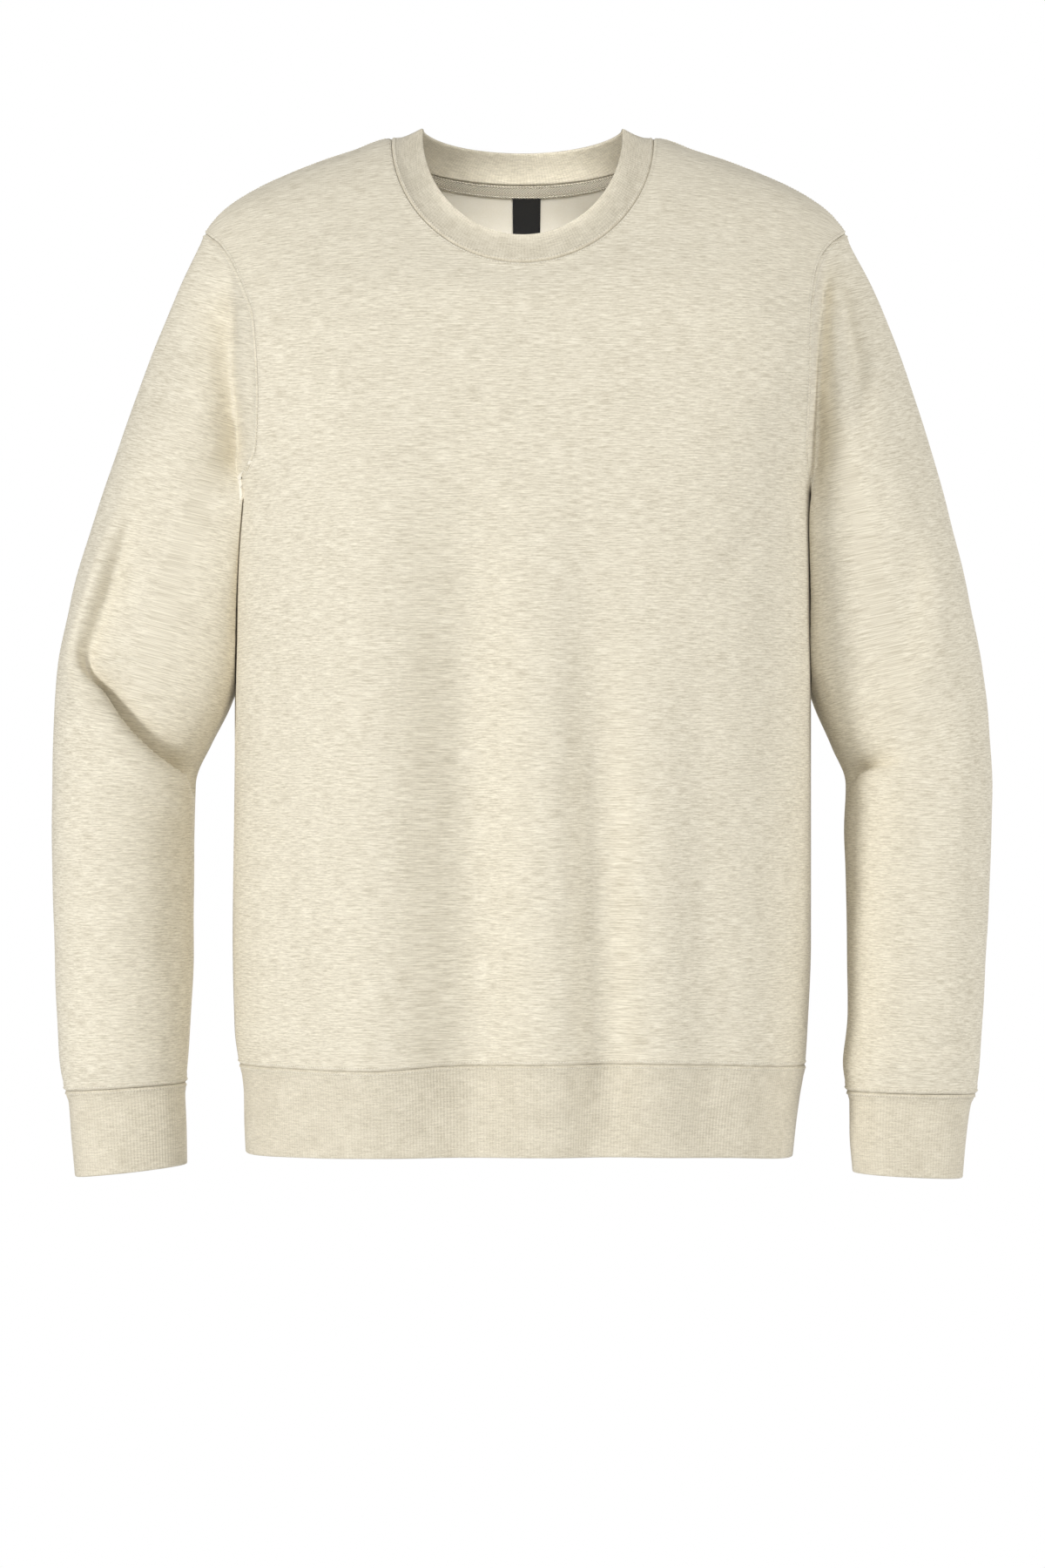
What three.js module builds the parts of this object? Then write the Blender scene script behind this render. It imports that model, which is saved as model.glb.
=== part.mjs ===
// A crewneck sweatshirt in fleece knit with fine rib trims, filled out as when worn, with nobody inside.
// Millimetres, +Z up. The front faces -Y and the wearer's left is +X. The origin is midway between
// the two points where the shoulder seams meet the neck seam, so it is where the shoulders carry it.
import * as THREE from "three";

// Cloth and seams
const fleeceThick = 2.2;
const ribThick = 2.8; // the rib is folded double
const tapeThick = 1.0;
const labelThick = 0.8;
const seamGap = 0.3;
const armholeGap = 0.4;

// Body
const neckHalf = 94; // neck seam at the shoulders
const frontNeckDrop = 96;
const backNeckDrop = 25;
const shoulderTip = { right: 227.5, left: 231.5, z: -68 };
const underarmZ = -255;
const bodySquareness = 2.5; // superellipse power of a level section

// Neckband, tape and label
const bandEdgeHalf = 73;
const bandEdgeTop = 7.4;
const bandEdgeFront = { y: -71, z: -75.5, power: 1 };
const bandEdgeBack = { y: 58, z: -4.5, power: 1.4 };
const bandBow = { shoulder: -1.4, middle: 1.2 }; // out of a straight line from seam to edge
const tapeColumns = 7; // grid columns it covers to either side
const tapeTop = 1.5; // below the neck seam
const tapeFoot = 13;
const labelAcross = [-7, 0, 6.5, 13]; // its right edge, left edge and two lines between
const labelTall = 44;
const labelSwing = 2.5; // its foot hangs this far off the panel

// Grid
const neckColumns = 10; // from the centre line to the shoulder seam
const shoulderColumns = 7;
const halfColumns = neckColumns + shoulderColumns;
const lowerRows = 9;
const underarmDip = 25;
const armholeRows = 12; // from the underarm to the shoulder tip

// The body at each height: how far it reaches to either side, and in front of and behind the side seams
const bodySections = [
  { z: -730, right: 198.5, left: 193.5, front: 113, back: 108 },
  { z: -705, right: 199.4, left: 196, front: 114, back: 109 },
  { z: -685, right: 199.7, left: 198.8, front: 116, back: 111 },
  { z: -668, right: 201.6, left: 201.6, front: 117, back: 112 },
  { z: -658, right: 203.1, left: 202.3, front: 118, back: 113 },
  { z: -640, right: 205.4, left: 203.4, front: 120.5, back: 115 },
  { z: -575, right: 206.9, left: 206, front: 124, back: 115 },
  { z: -430, right: 205.4, left: 206, front: 127, back: 109 },
  { z: -300, right: 205.4, left: 206, front: 127, back: 114 },
  { z: -255, right: 205.4, left: 206, front: 125, back: 119 },
  { z: -220, right: 212, left: 213, front: 121, back: 122 },
  { z: -170, right: 221, left: 223, front: 112, back: 122 },
  { z: -110, right: 228, left: 231, front: 96, back: 118 },
  { z: -60, right: 232, left: 236, front: 84, back: 112 },
  { z: 10, right: 236, left: 240, front: 78, back: 107 },
];

// Heights of the waist seam and the bottom edge, across the front and the back
const hemLines = [
  { x: -205, frontSeam: -662, frontEdge: -726, backSeam: -662, backEdge: -726 },
  { x: -110, frontSeam: -662.8, frontEdge: -724.5, backSeam: -660.5, backEdge: -725 },
  { x: -50, frontSeam: -659.5, frontEdge: -723.6, backSeam: -660, backEdge: -724.6 },
  { x: 80, frontSeam: -657.6, frontEdge: -723.4, backSeam: -660.2, backEdge: -725 },
  { x: 150, frontSeam: -660, frontEdge: -725, backSeam: -661.3, backEdge: -726.3 },
  { x: 205, frontSeam: -663, frontEdge: -728.6, backSeam: -663, backEdge: -728.6 },
];

// The top of the shoulder, where front meets back, over the share of the way out to the tip
const shoulderLine = [
  { out: 0, z: 1 },
  { out: 0.412, z: 0 },
  { out: 0.535, z: -9 },
  { out: 0.658, z: -18.5 },
  { out: 0.754, z: -27.5 },
  { out: 0.838, z: -36.5 },
  { out: 0.908, z: -46 },
  { out: 0.956, z: -55 },
  { out: 1, z: -68 },
  { out: 1.06, z: -95 },
];

// The armhole seam seen from the front or the back. The right one sits further in than the left one.
const armholeSeam = [
  { z: -255, right: 205.4, left: 206, backRight: 205.4, backLeft: 206 },
  { z: -240, right: 194, left: 202, backRight: 198, backLeft: 201 },
  { z: -224, right: 188, left: 200.5, backRight: 193.5, backLeft: 197 },
  { z: -190, right: 186.5, left: 202, backRight: 191, backLeft: 195 },
  { z: -133, right: 190, left: 203.5, backRight: 194, backLeft: 198 },
  { z: -114, right: 196.5, left: 205.5, backRight: 199, backLeft: 203 },
  { z: -93, right: 206, left: 210, backRight: 209, backLeft: 212 },
  { z: -78, right: 216, left: 219.5, backRight: 218.5, backLeft: 222 },
  { z: -68, right: 227.5, left: 231.5, backRight: 227.5, backLeft: 231.5 },
];

// Upright folds in the body: ridges from top to bottom, seen from the front
const frontRidges = [
  { top: -90, full: -560, xTop: -126, xFoot: -110, halfWide: 62, high: 7.5 },
  { top: -200, full: -520, xTop: -4, xFoot: 27, halfWide: 58, high: 7 },
  { top: -370, full: -560, xTop: 88, xFoot: 103, halfWide: 38, high: 5.5 },
  { top: -430, full: -620, xTop: 160, xFoot: 168, halfWide: 30, high: 4 },
  { top: -520, full: -640, xTop: -170, xFoot: -172, halfWide: 22, high: 2 },
];
const backRidges = [
  { top: -140, full: -560, xTop: 112, xFoot: 96, halfWide: 60, high: 7 },
  { top: -250, full: -600, xTop: 22, xFoot: 8, halfWide: 50, high: 6 },
  { top: -180, full: -520, xTop: -70, xFoot: -84, halfWide: 55, high: 7 },
  { top: -400, full: -620, xTop: -150, xFoot: -160, halfWide: 32, high: 4.5 },
];

// Sleeve sections from armhole to cuff seam. Each has its outer and inner point seen from the front,
// the middle of its depth, and how far it reaches forwards and backwards from there.
const rightSleeveSections = [
  { outX: 227.5, outZ: -68, inX: 205.4, inZ: -255, midY: 4, fore: 76, aft: 84 },
  { outX: 252, outZ: -118, inX: 205.6, inZ: -278, midY: 13, fore: 66, aft: 76 },
  { outX: 284, outZ: -200, inX: 205.3, inZ: -318, midY: 20, fore: 66, aft: 72 },
  { outX: 310.3, outZ: -277, inX: 204.8, inZ: -364, midY: 22, fore: 64, aft: 68 },
  { outX: 326, outZ: -333, inX: 215, inZ: -404, midY: 20, fore: 60, aft: 64 },
  { outX: 334, outZ: -377, inX: 226.3, inZ: -434, midY: 16, fore: 57, aft: 61 },
  { outX: 336.8, outZ: -418, inX: 235.2, inZ: -463, midY: 11, fore: 57, aft: 58 },
  { outX: 337.6, outZ: -465, inX: 235.8, inZ: -498, midY: 5, fore: 55, aft: 55 },
  { outX: 336.3, outZ: -535, inX: 235.2, inZ: -556, midY: -5, fore: 51, aft: 51 },
  { outX: 333.3, outZ: -620, inX: 237, inZ: -626, midY: -14, fore: 45, aft: 46 },
  { outX: 329.8, outZ: -664, inX: 239, inZ: -660, midY: -18, fore: 41, aft: 42 },
  { outX: 326.5, outZ: -681, inX: 240.5, inZ: -675, midY: -19, fore: 35, aft: 36 },
];
const leftSleeveSections = [
  { outX: 231.5, outZ: -68, inX: 206, inZ: -255, midY: 4, fore: 64, aft: 84 },
  { outX: 257.5, outZ: -118, inX: 206.2, inZ: -278, midY: 14, fore: 60, aft: 80 },
  { outX: 288, outZ: -200, inX: 205.9, inZ: -318, midY: 20, fore: 64, aft: 76 },
  { outX: 310, outZ: -277, inX: 205.4, inZ: -364, midY: 22, fore: 64, aft: 68 },
  { outX: 322.6, outZ: -333, inX: 215, inZ: -404, midY: 20, fore: 60, aft: 64 },
  { outX: 331.3, outZ: -380, inX: 225, inZ: -436, midY: 15, fore: 57, aft: 60 },
  { outX: 335.3, outZ: -422, inX: 232.3, inZ: -463, midY: 10, fore: 56, aft: 57 },
  { outX: 337, outZ: -465, inX: 231, inZ: -498, midY: 5, fore: 57, aft: 55 },
  { outX: 334.2, outZ: -535, inX: 232.5, inZ: -556, midY: -4, fore: 54, aft: 51 },
  { outX: 329.5, outZ: -620, inX: 232.5, inZ: -626, midY: -12, fore: 48, aft: 46 },
  { outX: 326.5, outZ: -664, inX: 229, inZ: -662, midY: -16, fore: 42, aft: 42 },
  { outX: 324, outZ: -683, inX: 231.6, inZ: -681, midY: -17, fore: 36, aft: 36 },
];
const sleeveSquareness = 2.15;
const armholeBlend = 0.3; // share of the sleeve over which it leaves the armhole's shape
const sleeveRows = 30;
const underarmStrip = 9; // how far it stands out from the lower armhole before it turns down
const bodyClearance = 1.8; // between a hanging sleeve and the body beside it

// Sleeve folds, seen from the front or the back, as troughs along a line of points
const rightSleeveFolds = [
  { name: "elbow, soft start", side: -1, deep: 7, above: 26, below: 16, start: 0.5, end: 0,
    line: [[-281, -296], [-298, -340], [-311, -372]] },
  { name: "elbow, tucked part", side: -1, deep: 13, above: 24, below: 7, start: 0.25, end: 0,
    line: [[-309, -366], [-306, -392], [-281, -424], [-258, -445], [-230, -467]] },
  { name: "beside the armhole", side: -1, deep: 6, above: 9, below: 9, start: 0.4, end: 0.4,
    line: [[-209, -100], [-205, -150], [-202, -215], [-206, -262]] },
  { name: "back of the elbow", side: 1, deep: 8, above: 22, below: 12, start: 0.4, end: 0.2,
    line: [[-330, -402], [-290, -428], [-236, -470]] },
  { name: "back of the upper arm", side: 1, deep: 6, above: 18, below: 18, start: 0.4, end: 0.5,
    line: [[-214, -130], [-232, -210], [-262, -300]] },
];
const leftSleeveFolds = [
  { name: "inner elbow tuck", side: -1, deep: 9, above: 14, below: 7, start: 0, end: 0.6,
    line: [[228, -463], [246, -452], [274, -432]] },
  { name: "below the shoulder", side: -1, deep: 6, above: 12, below: 12, start: 0.4, end: 0.5,
    line: [[227, -108], [236, -150], [240, -190], [254, -260]] },
  { name: "long soft trough", side: -1, deep: 5, above: 24, below: 24, start: 0.5, end: 0.5,
    line: [[262, -250], [276, -320], [272, -390]] },
  { name: "back of the elbow", side: 1, deep: 8, above: 22, below: 12, start: 0.2, end: 0.4,
    line: [[230, -466], [286, -436], [330, -396]] },
  { name: "back of the upper arm", side: 1, deep: 6, above: 18, below: 18, start: 0.4, end: 0.5,
    line: [[216, -140], [238, -220], [256, -310]] },
];

// Cuff sections from seam to edge
const rightCuffSections = [
  { outX: 326, outZ: -681, inX: 240.8, inZ: -675, midY: -19, fore: 34, aft: 35 },
  { outX: 323.8, outZ: -690, inX: 240.8, inZ: -684, midY: -20, fore: 31, aft: 32 },
  { outX: 322, outZ: -712, inX: 239.8, inZ: -706, midY: -22, fore: 29.5, aft: 30 },
  { outX: 319.3, outZ: -741, inX: 239.2, inZ: -732, midY: -24, fore: 29, aft: 29 },
];
const leftCuffSections = [
  { outX: 323.3, outZ: -683, inX: 232, inZ: -681, midY: -17, fore: 35, aft: 35 },
  { outX: 320.3, outZ: -691, inX: 233.4, inZ: -689, midY: -18, fore: 32, aft: 32 },
  { outX: 317, outZ: -712, inX: 233.4, inZ: -711, midY: -20, fore: 30, aft: 30 },
  { outX: 314, outZ: -742, inX: 235.5, inZ: -738, midY: -22, fore: 29, aft: 29 },
];

const degrees = Math.PI / 180;
const vec = (x, y, z) => new THREE.Vector3(x, y, z);
const mix = (a, b, t) => a + (b - a) * t;
const clamp01 = (t) => Math.min(1, Math.max(0, t));
const ease = (t) => clamp01(t) ** 2 * (3 - 2 * clamp01(t));

// A smooth curve through a table's rows, with no overshoot between them
function through(table, key, column) {
  const rows = [...table].sort((a, b) => a[key] - b[key]);
  const at = rows.map((row) => row[key]);
  const value = rows.map((row) => row[column]);
  const slope = at.slice(1).map((x, i) => (value[i + 1] - value[i]) / (x - at[i]));
  const tangent = at.map((_, i) => {
    if (i === 0) return slope[0];
    if (i === at.length - 1) return slope[i - 1];
    const [a, b] = [slope[i - 1], slope[i]];
    return a * b <= 0 ? 0 : (2 * a * b) / (a + b);
  });
  return (x) => {
    if (x <= at[0]) return value[0];
    if (x >= at[at.length - 1]) return value[at.length - 1];
    const i = at.findIndex((next) => next > x) - 1;
    const h = at[i + 1] - at[i];
    const t = (x - at[i]) / h;
    const rise = t * t * (3 - 2 * t);
    return (
      value[i] + (value[i + 1] - value[i]) * rise +
      h * tangent[i] * t * (1 - t) ** 2 - h * tangent[i + 1] * t * t * (1 - t)
    );
  };
}

const bodyAt = {
  right: through(bodySections, "z", "right"),
  left: through(bodySections, "z", "left"),
  front: through(bodySections, "z", "front"),
  back: through(bodySections, "z", "back"),
};
const hemAt = {
  frontSeam: through(hemLines, "x", "frontSeam"),
  frontEdge: through(hemLines, "x", "frontEdge"),
  backSeam: through(hemLines, "x", "backSeam"),
  backEdge: through(hemLines, "x", "backEdge"),
};
const halfWidth = (hand, z) => (hand < 0 ? bodyAt.right(z) : bodyAt.left(z));
const tipX = (hand) => (hand < 0 ? shoulderTip.right : shoulderTip.left);
const shoulderRise = through(shoulderLine, "out", "z");
const shoulderZ = (x) => shoulderRise(Math.abs(x) / tipX(x));
const armholeCurve = {
  right: through(armholeSeam, "z", "right"),
  left: through(armholeSeam, "z", "left"),
  backRight: through(armholeSeam, "z", "backRight"),
  backLeft: through(armholeSeam, "z", "backLeft"),
};
function armholeX(side, hand, z) {
  if (side < 0) return hand < 0 ? armholeCurve.right(z) : armholeCurve.left(z);
  return hand < 0 ? armholeCurve.backRight(z) : armholeCurve.backLeft(z);
}

// Height of the upright ridges at a point of the front (side -1) or back (side 1)
function ridgeHeight(side, x, z) {
  let sum = 0;
  for (const ridge of side < 0 ? frontRidges : backRidges) {
    const along = clamp01((ridge.top - z) / (ridge.top - ridge.full));
    const crest = mix(ridge.xTop, ridge.xFoot, clamp01((ridge.top - z) / (ridge.top + 660)));
    const off = Math.min(1, Math.abs(x - crest) / ridge.halfWide);
    sum += ridge.high * ease(along) * Math.cos((off * Math.PI) / 2) ** 2;
  }
  return sum * mix(1, 0.55, clamp01((-660 - z) / 65)); // the rib holds them flatter
}

// How far a level section reaches forwards or backwards at its middle
function fullDepth(side, x, z) {
  const out = Math.min(1, Math.abs(x) / tipX(x));
  const closing = side < 0 ? 120 : mix(90, 112, out);
  const power = side < 0 ? mix(1.3, 1.9, out) : mix(1.6, 1.9, out);
  const under = clamp01((shoulderZ(x) - z) / closing);
  const top = (1 - (1 - under) ** power) ** (1 / power);
  return (side < 0 ? bodyAt.front(z) : bodyAt.back(z)) * top;
}

// A point of the body's front (side -1) or back (side 1), seen from the front at x and z
function bodyPoint(side, x, z) {
  const across = Math.min(1, Math.abs(x) / halfWidth(x, z));
  const level = (1 - across ** bodySquareness) ** (1 / bodySquareness);
  const depth = fullDepth(side, x, z);
  const ridge = ridgeHeight(side, x, z) * Math.min(1, depth / 60);
  return vec(x, side * (depth + ridge) * level, z);
}

// The neck seam and shoulder seam as the top edge of a panel. Columns count from the centre line.
function neckAngle(column) {
  return 90 * degrees * (1 - (1 - Math.abs(column) / neckColumns) ** 1.5);
}
function topEdge(side, column) {
  const hand = Math.sign(column);
  const away = Math.abs(column);
  if (away < neckColumns) {
    const angle = neckAngle(away);
    const drop = side < 0 ? frontNeckDrop : backNeckDrop;
    return { x: hand * neckHalf * Math.sin(angle), z: -drop * Math.cos(angle) };
  }
  const x = hand * mix(neckHalf, tipX(hand), (away - neckColumns) / shoulderColumns);
  return { x, z: shoulderZ(x) };
}

// The armhole seam from the underarm (row 0) up to the shoulder tip, in steps of equal length
const underarmShare = (z) => (z - underarmZ) / (shoulderTip.z - underarmZ);
function armholeSteps(side, hand) {
  const fine = [];
  const count = 600;
  for (let k = 0; k <= count; k++) {
    const z = mix(underarmZ, shoulderTip.z, (1 - Math.cos((Math.PI * k) / count)) / 2);
    const p = bodyPoint(side, hand * armholeX(side, hand, z), z);
    fine.push(k === 0 || k === count ? p.setY(0) : p);
  }
  const gone = [0];
  for (let k = 1; k <= count; k++) gone.push(gone[k - 1] + fine[k].distanceTo(fine[k - 1]));
  return Array.from({ length: armholeRows + 1 }, (_, row) => {
    const target = (gone[count] * row) / armholeRows;
    const k = Math.max(1, gone.findIndex((length) => length >= target - 1e-6));
    const t = (target - gone[k - 1]) / (gone[k] - gone[k - 1]);
    return fine[k - 1].clone().lerp(fine[k], t);
  });
}
const armholes = [-1, 1].map((side) => [-1, 1].map((hand) => armholeSteps(side, hand)));
const armholePoint = (side, hand, row) => armholes[(side + 1) / 2][(hand + 1) / 2][row].clone();

// Height of the waist seam (share 0) to the bottom edge (share 1) under a column
const columnSpread = (column) => Math.sin((column / halfColumns) * 90 * degrees);
function hemZ(side, column, share) {
  const x = 205 * columnSpread(column);
  const seam = side < 0 ? hemAt.frontSeam(x) : hemAt.backSeam(x);
  const edge = side < 0 ? hemAt.frontEdge(x) : hemAt.backEdge(x);
  return mix(seam, edge, share);
}

// Rows bend down from the underarm towards the middle of the panel
const underarmRowZ = (column) => underarmZ - underarmDip * (1 - (column / halfColumns) ** 4);

// A panel's outer points: rows from the waist seam up, columns from one side to the other
const halfSeam = (side) => (side * seamGap) / 2;
function panelRows(side) {
  const columns = [];
  for (let j = -halfColumns; j <= halfColumns; j++) columns.push(side < 0 ? j : -j);
  const rows = [];
  for (let i = 0; i <= lowerRows; i++) {
    rows.push(columns.map((j) => {
      const z = mix(hemZ(side, j, 0), underarmRowZ(j), i / lowerRows);
      const p = bodyPoint(side, halfWidth(j, z) * columnSpread(j), z);
      return Math.abs(j) === halfColumns ? p.setY(halfSeam(side)) : p;
    }));
  }
  for (let row = 1; row <= armholeRows; row++) {
    const share = row / armholeRows;
    rows.push(columns.map((j) => {
      const hand = Math.sign(j) || 1;
      const u = Math.abs(j) / halfColumns;
      const seam = armholePoint(side, hand, row);
      if (u === 1) return row === armholeRows ? seam.setY(halfSeam(side)) : seam;
      const top = topEdge(side, j);
      if (row === armholeRows) {
        const p = bodyPoint(side, top.x, top.z);
        return Math.abs(j) >= neckColumns ? p.setY(halfSeam(side)) : p;
      }
      const crowding = 1 + 0.7 * Math.sin(u * 180 * degrees);
      const rise = 1 - (1 - mix(share, underarmShare(seam.z), u ** 1.5)) ** crowding;
      const turn = Math.asin(Math.abs(seam.x) / halfWidth(hand, seam.z));
      const level = Math.abs(seam.x) * (Math.sin(u * turn) / Math.sin(turn));
      const onShoulder = clamp01((Math.abs(j) - neckColumns) / shoulderColumns);
      const upper = Math.abs(top.x) + (Math.abs(seam.x) - tipX(hand)) * onShoulder;
      const x = hand * mix(level, upper, ease(share));
      return bodyPoint(side, x, mix(underarmRowZ(j), top.z, rise));
    }));
  }
  return { rows, columns };
}

// Outward normals of a grid of points
function normalsOf(rows, closed, sign = 1) {
  const wide = rows[0].length;
  return rows.map((line, i) => line.map((_, j) => {
    const left = closed ? line[(j + wide - 1) % wide] : line[Math.max(0, j - 1)];
    const right = closed ? line[(j + 1) % wide] : line[Math.min(wide - 1, j + 1)];
    const below = rows[Math.max(0, i - 1)][j];
    const above = rows[Math.min(rows.length - 1, i + 1)][j];
    return right.clone().sub(left).cross(above.clone().sub(below)).normalize().multiplyScalar(sign);
  }));
}

// A closed wall between a grid of outer points and the same points moved by their insets.
// Each cell of the grid splits along its shorter diagonal.
function wall(outer, insets, closed) {
  const high = outer.length;
  const wide = outer[0].length;
  const inner = outer.map((line, i) => line.map((p, j) => p.clone().add(insets[i][j])));
  const positions = [...outer.flat(), ...inner.flat()].flatMap((p) => [p.x, p.y, p.z]);
  const index = [];
  const at = (layer, i, j) => layer * high * wide + i * wide + (j % wide);
  const quad = (a, b, c, d) => index.push(a, b, c, a, c, d);
  const spans = closed ? wide : wide - 1;
  for (let i = 0; i < high - 1; i++) {
    for (let j = 0; j < spans; j++) {
      const cell = [[i, j], [i, j + 1], [i + 1, j + 1], [i + 1, j]];
      const [a, b, c, d] = cell.map(([row, k]) => outer[row][k % wide]);
      if (a.distanceTo(c) > b.distanceTo(d)) cell.push(cell.shift());
      quad(...cell.map(([row, k]) => at(0, row, k)));
      const [first, ...others] = cell;
      quad(...[first, ...others.reverse()].map(([row, k]) => at(1, row, k)));
    }
  }
  for (let j = 0; j < spans; j++) {
    quad(at(0, 0, j), at(1, 0, j), at(1, 0, j + 1), at(0, 0, j + 1));
    quad(at(0, high - 1, j), at(0, high - 1, j + 1), at(1, high - 1, j + 1), at(1, high - 1, j));
  }
  for (let i = 0; i < high - 1 && !closed; i++) {
    quad(at(0, i, 0), at(0, i + 1, 0), at(1, i + 1, 0), at(1, i, 0));
    quad(at(0, i, wide - 1), at(1, i, wide - 1), at(1, i + 1, wide - 1), at(0, i + 1, wide - 1));
  }
  if (signedVolume(positions, index) < 0) turnOver(index);
  const geometry = new THREE.BufferGeometry();
  geometry.setAttribute("position", new THREE.Float32BufferAttribute(positions, 3));
  geometry.setIndex(index);
  geometry.computeVertexNormals();
  return geometry;
}

function signedVolume(positions, index) {
  const corner = (k) => vec(...positions.slice(3 * k, 3 * k + 3));
  let sum = 0;
  for (let k = 0; k < index.length; k += 3) {
    sum += corner(index[k]).dot(corner(index[k + 1]).cross(corner(index[k + 2])));
  }
  return sum / 6;
}

function turnOver(index) {
  for (let k = 0; k < index.length; k += 3) {
    [index[k + 1], index[k + 2]] = [index[k + 2], index[k + 1]];
  }
}

const panels = [-1, 1].map((side) => {
  const { rows, columns } = panelRows(side);
  return { side, rows, columns, normals: normalsOf(rows, false) };
});
const panelOn = (side) => (side < 0 ? panels[0] : panels[1]);
function topNormal(side, column) {
  const { columns, normals } = panelOn(side);
  return normals[normals.length - 1][columns.indexOf(column)];
}

// The neck seam all round, from the wearer's right over the front and back again
const neckRing = [];
for (let j = -neckColumns; j < neckColumns; j++) neckRing.push({ side: -1, column: j });
for (let j = neckColumns; j > -neckColumns; j--) neckRing.push({ side: 1, column: j });
const neckSeam = neckRing.map(({ side, column }) => {
  const { x, z } = topEdge(side, column);
  const p = bodyPoint(side, x, z);
  return Math.abs(column) === neckColumns ? p.setY(0) : p;
});
const neckEdge = neckRing.map(({ side, column }) => {
  const angle = neckAngle(column);
  const middle = side < 0 ? bandEdgeFront : bandEdgeBack;
  const x = Math.sign(column) * bandEdgeHalf * Math.sin(angle);
  const toMiddle = Math.cos(angle);
  return vec(x, middle.y * toMiddle, mix(bandEdgeTop, middle.z, toMiddle ** middle.power));
});
const neckTangents = neckSeam.map((_, k) => {
  const count = neckSeam.length;
  return neckSeam[(k + 1) % count].clone().sub(neckSeam[(k + count - 1) % count]).normalize();
});

// Towards the inside at the neck seam, halfway between the neckband and the panels
const neckInwards = neckRing.map(({ side, column }, k) => {
  const band = neckTangents[k].clone().cross(neckEdge[k].clone().sub(neckSeam[k])).normalize();
  const body = Math.abs(column) < neckColumns
    ? topNormal(side, column).clone()
    : topNormal(-1, column).clone().add(topNormal(1, column)).normalize();
  const inward = band.add(body).negate();
  return (Math.abs(column) === neckColumns ? inward.setY(0) : inward).normalize();
});
function neckInward(side, column) {
  const same = (place) => place.column === column
    && (place.side === side || Math.abs(column) === neckColumns);
  return neckInwards[neckRing.findIndex(same)];
}

// Towards the inside at the armhole seam. Around the top it points to the middle of the armhole,
// and at the underarm, where body and sleeve fold on each other, it also goes into its own piece.
function armholeInward(point, own, row) {
  const middle = mix(underarmZ, shoulderTip.z, 0.5);
  const folded = 1.2 * ease(1 - (3 * row) / armholeRows);
  return vec(0, -point.y, middle - point.z).normalize().addScaledVector(own, folded).normalize();
}

function panelInward({ side, rows, columns, normals }, i, k) {
  const column = columns[k];
  const hand = Math.sign(column);
  const own = vec(-hand, 0, 0);
  if (Math.abs(column) === halfColumns) {
    return i < lowerRows ? own : armholeInward(rows[i][k], own, i - lowerRows);
  }
  if (i === rows.length - 1) {
    if (Math.abs(column) <= neckColumns) return neckInward(side, column).clone();
    const { x } = rows[i][k];
    return vec((shoulderZ(x + 2) - shoulderZ(x - 2)) / 4, 0, -1).normalize();
  }
  const inward = normals[i][k].clone().negate();
  return i === 0 ? inward.setZ(0).normalize() : inward;
}
for (const panel of panels) {
  panel.insets = panel.rows.map((line, i) => line.map((_, k) =>
    panelInward(panel, i, k).multiplyScalar(fleeceThick)));
}

// Rounds off a wall's last row, where the rib is folded double
function foldedEdge(rows, insets) {
  const last = rows.length - 1;
  const turns = [35, 70].map((turn) => turn * degrees);
  const points = turns.map((turn) => rows[last].map((p, j) => {
    const along = p.clone().sub(rows[last - 1][j]).normalize();
    return p.clone().addScaledVector(along, (ribThick / 2) * Math.sin(turn))
      .addScaledVector(insets[last][j], (1 - Math.cos(turn)) / 2);
  }));
  const ends = turns.map((turn) => insets[last].map((inset) =>
    inset.clone().multiplyScalar(Math.cos(turn))));
  return { rows: [...rows, ...points], insets: [...insets, ...ends] };
}

function ribWall(rows, firstInward, sign) {
  const normals = normalsOf(rows, true, sign);
  const insets = normals.map((line, i) => line.map((normal, j) =>
    (i === 0 ? firstInward(j, normal) : normal.clone().negate()).multiplyScalar(ribThick)));
  const folded = foldedEdge(rows, insets);
  return wall(folded.rows, folded.insets, true);
}

function neckband() {
  const steps = 3;
  const rows = [];
  for (let i = 0; i <= steps; i++) {
    const t = i / steps;
    rows.push(neckSeam.map((p, k) => {
      const rising = neckEdge[k].clone().sub(p);
      const gap = neckTangents[k].clone().cross(neckInwards[k]).normalize();
      gap.multiplyScalar(Math.sign(gap.dot(rising)) * seamGap);
      const middle = Math.cos(neckAngle(neckRing[k].column));
      const bow = mix(bandBow.shoulder, bandBow.middle, middle) * Math.sin(Math.PI * t);
      return p.clone().add(gap).lerp(neckEdge[k], t).addScaledVector(neckInwards[k], -bow);
    }));
  }
  return ribWall(rows, (k) => neckInwards[k].clone(), 1);
}

function waistband() {
  const ring = [];
  for (let j = -halfColumns; j < halfColumns; j++) ring.push({ side: -1, column: j });
  for (let j = halfColumns; j > -halfColumns; j--) ring.push({ side: 1, column: j });
  const rows = [0, 0.12, 0.35, 0.65, 1].map((share) => ring.map(({ side, column }) => {
    const ends = mix(-seamGap, ribThick / 2, share);
    const z = hemZ(side, column, share) + ends;
    const p = bodyPoint(side, halfWidth(column, z) * columnSpread(column), z);
    return Math.abs(column) === halfColumns ? p.setY(0) : p;
  }));
  const firstInward = (k, normal) => {
    const { column } = ring[k];
    if (Math.abs(column) === halfColumns) return vec(-Math.sign(column), 0, 0);
    return normal.clone().negate().setZ(0).normalize();
  };
  return ribWall(rows, firstInward, -1);
}

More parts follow.
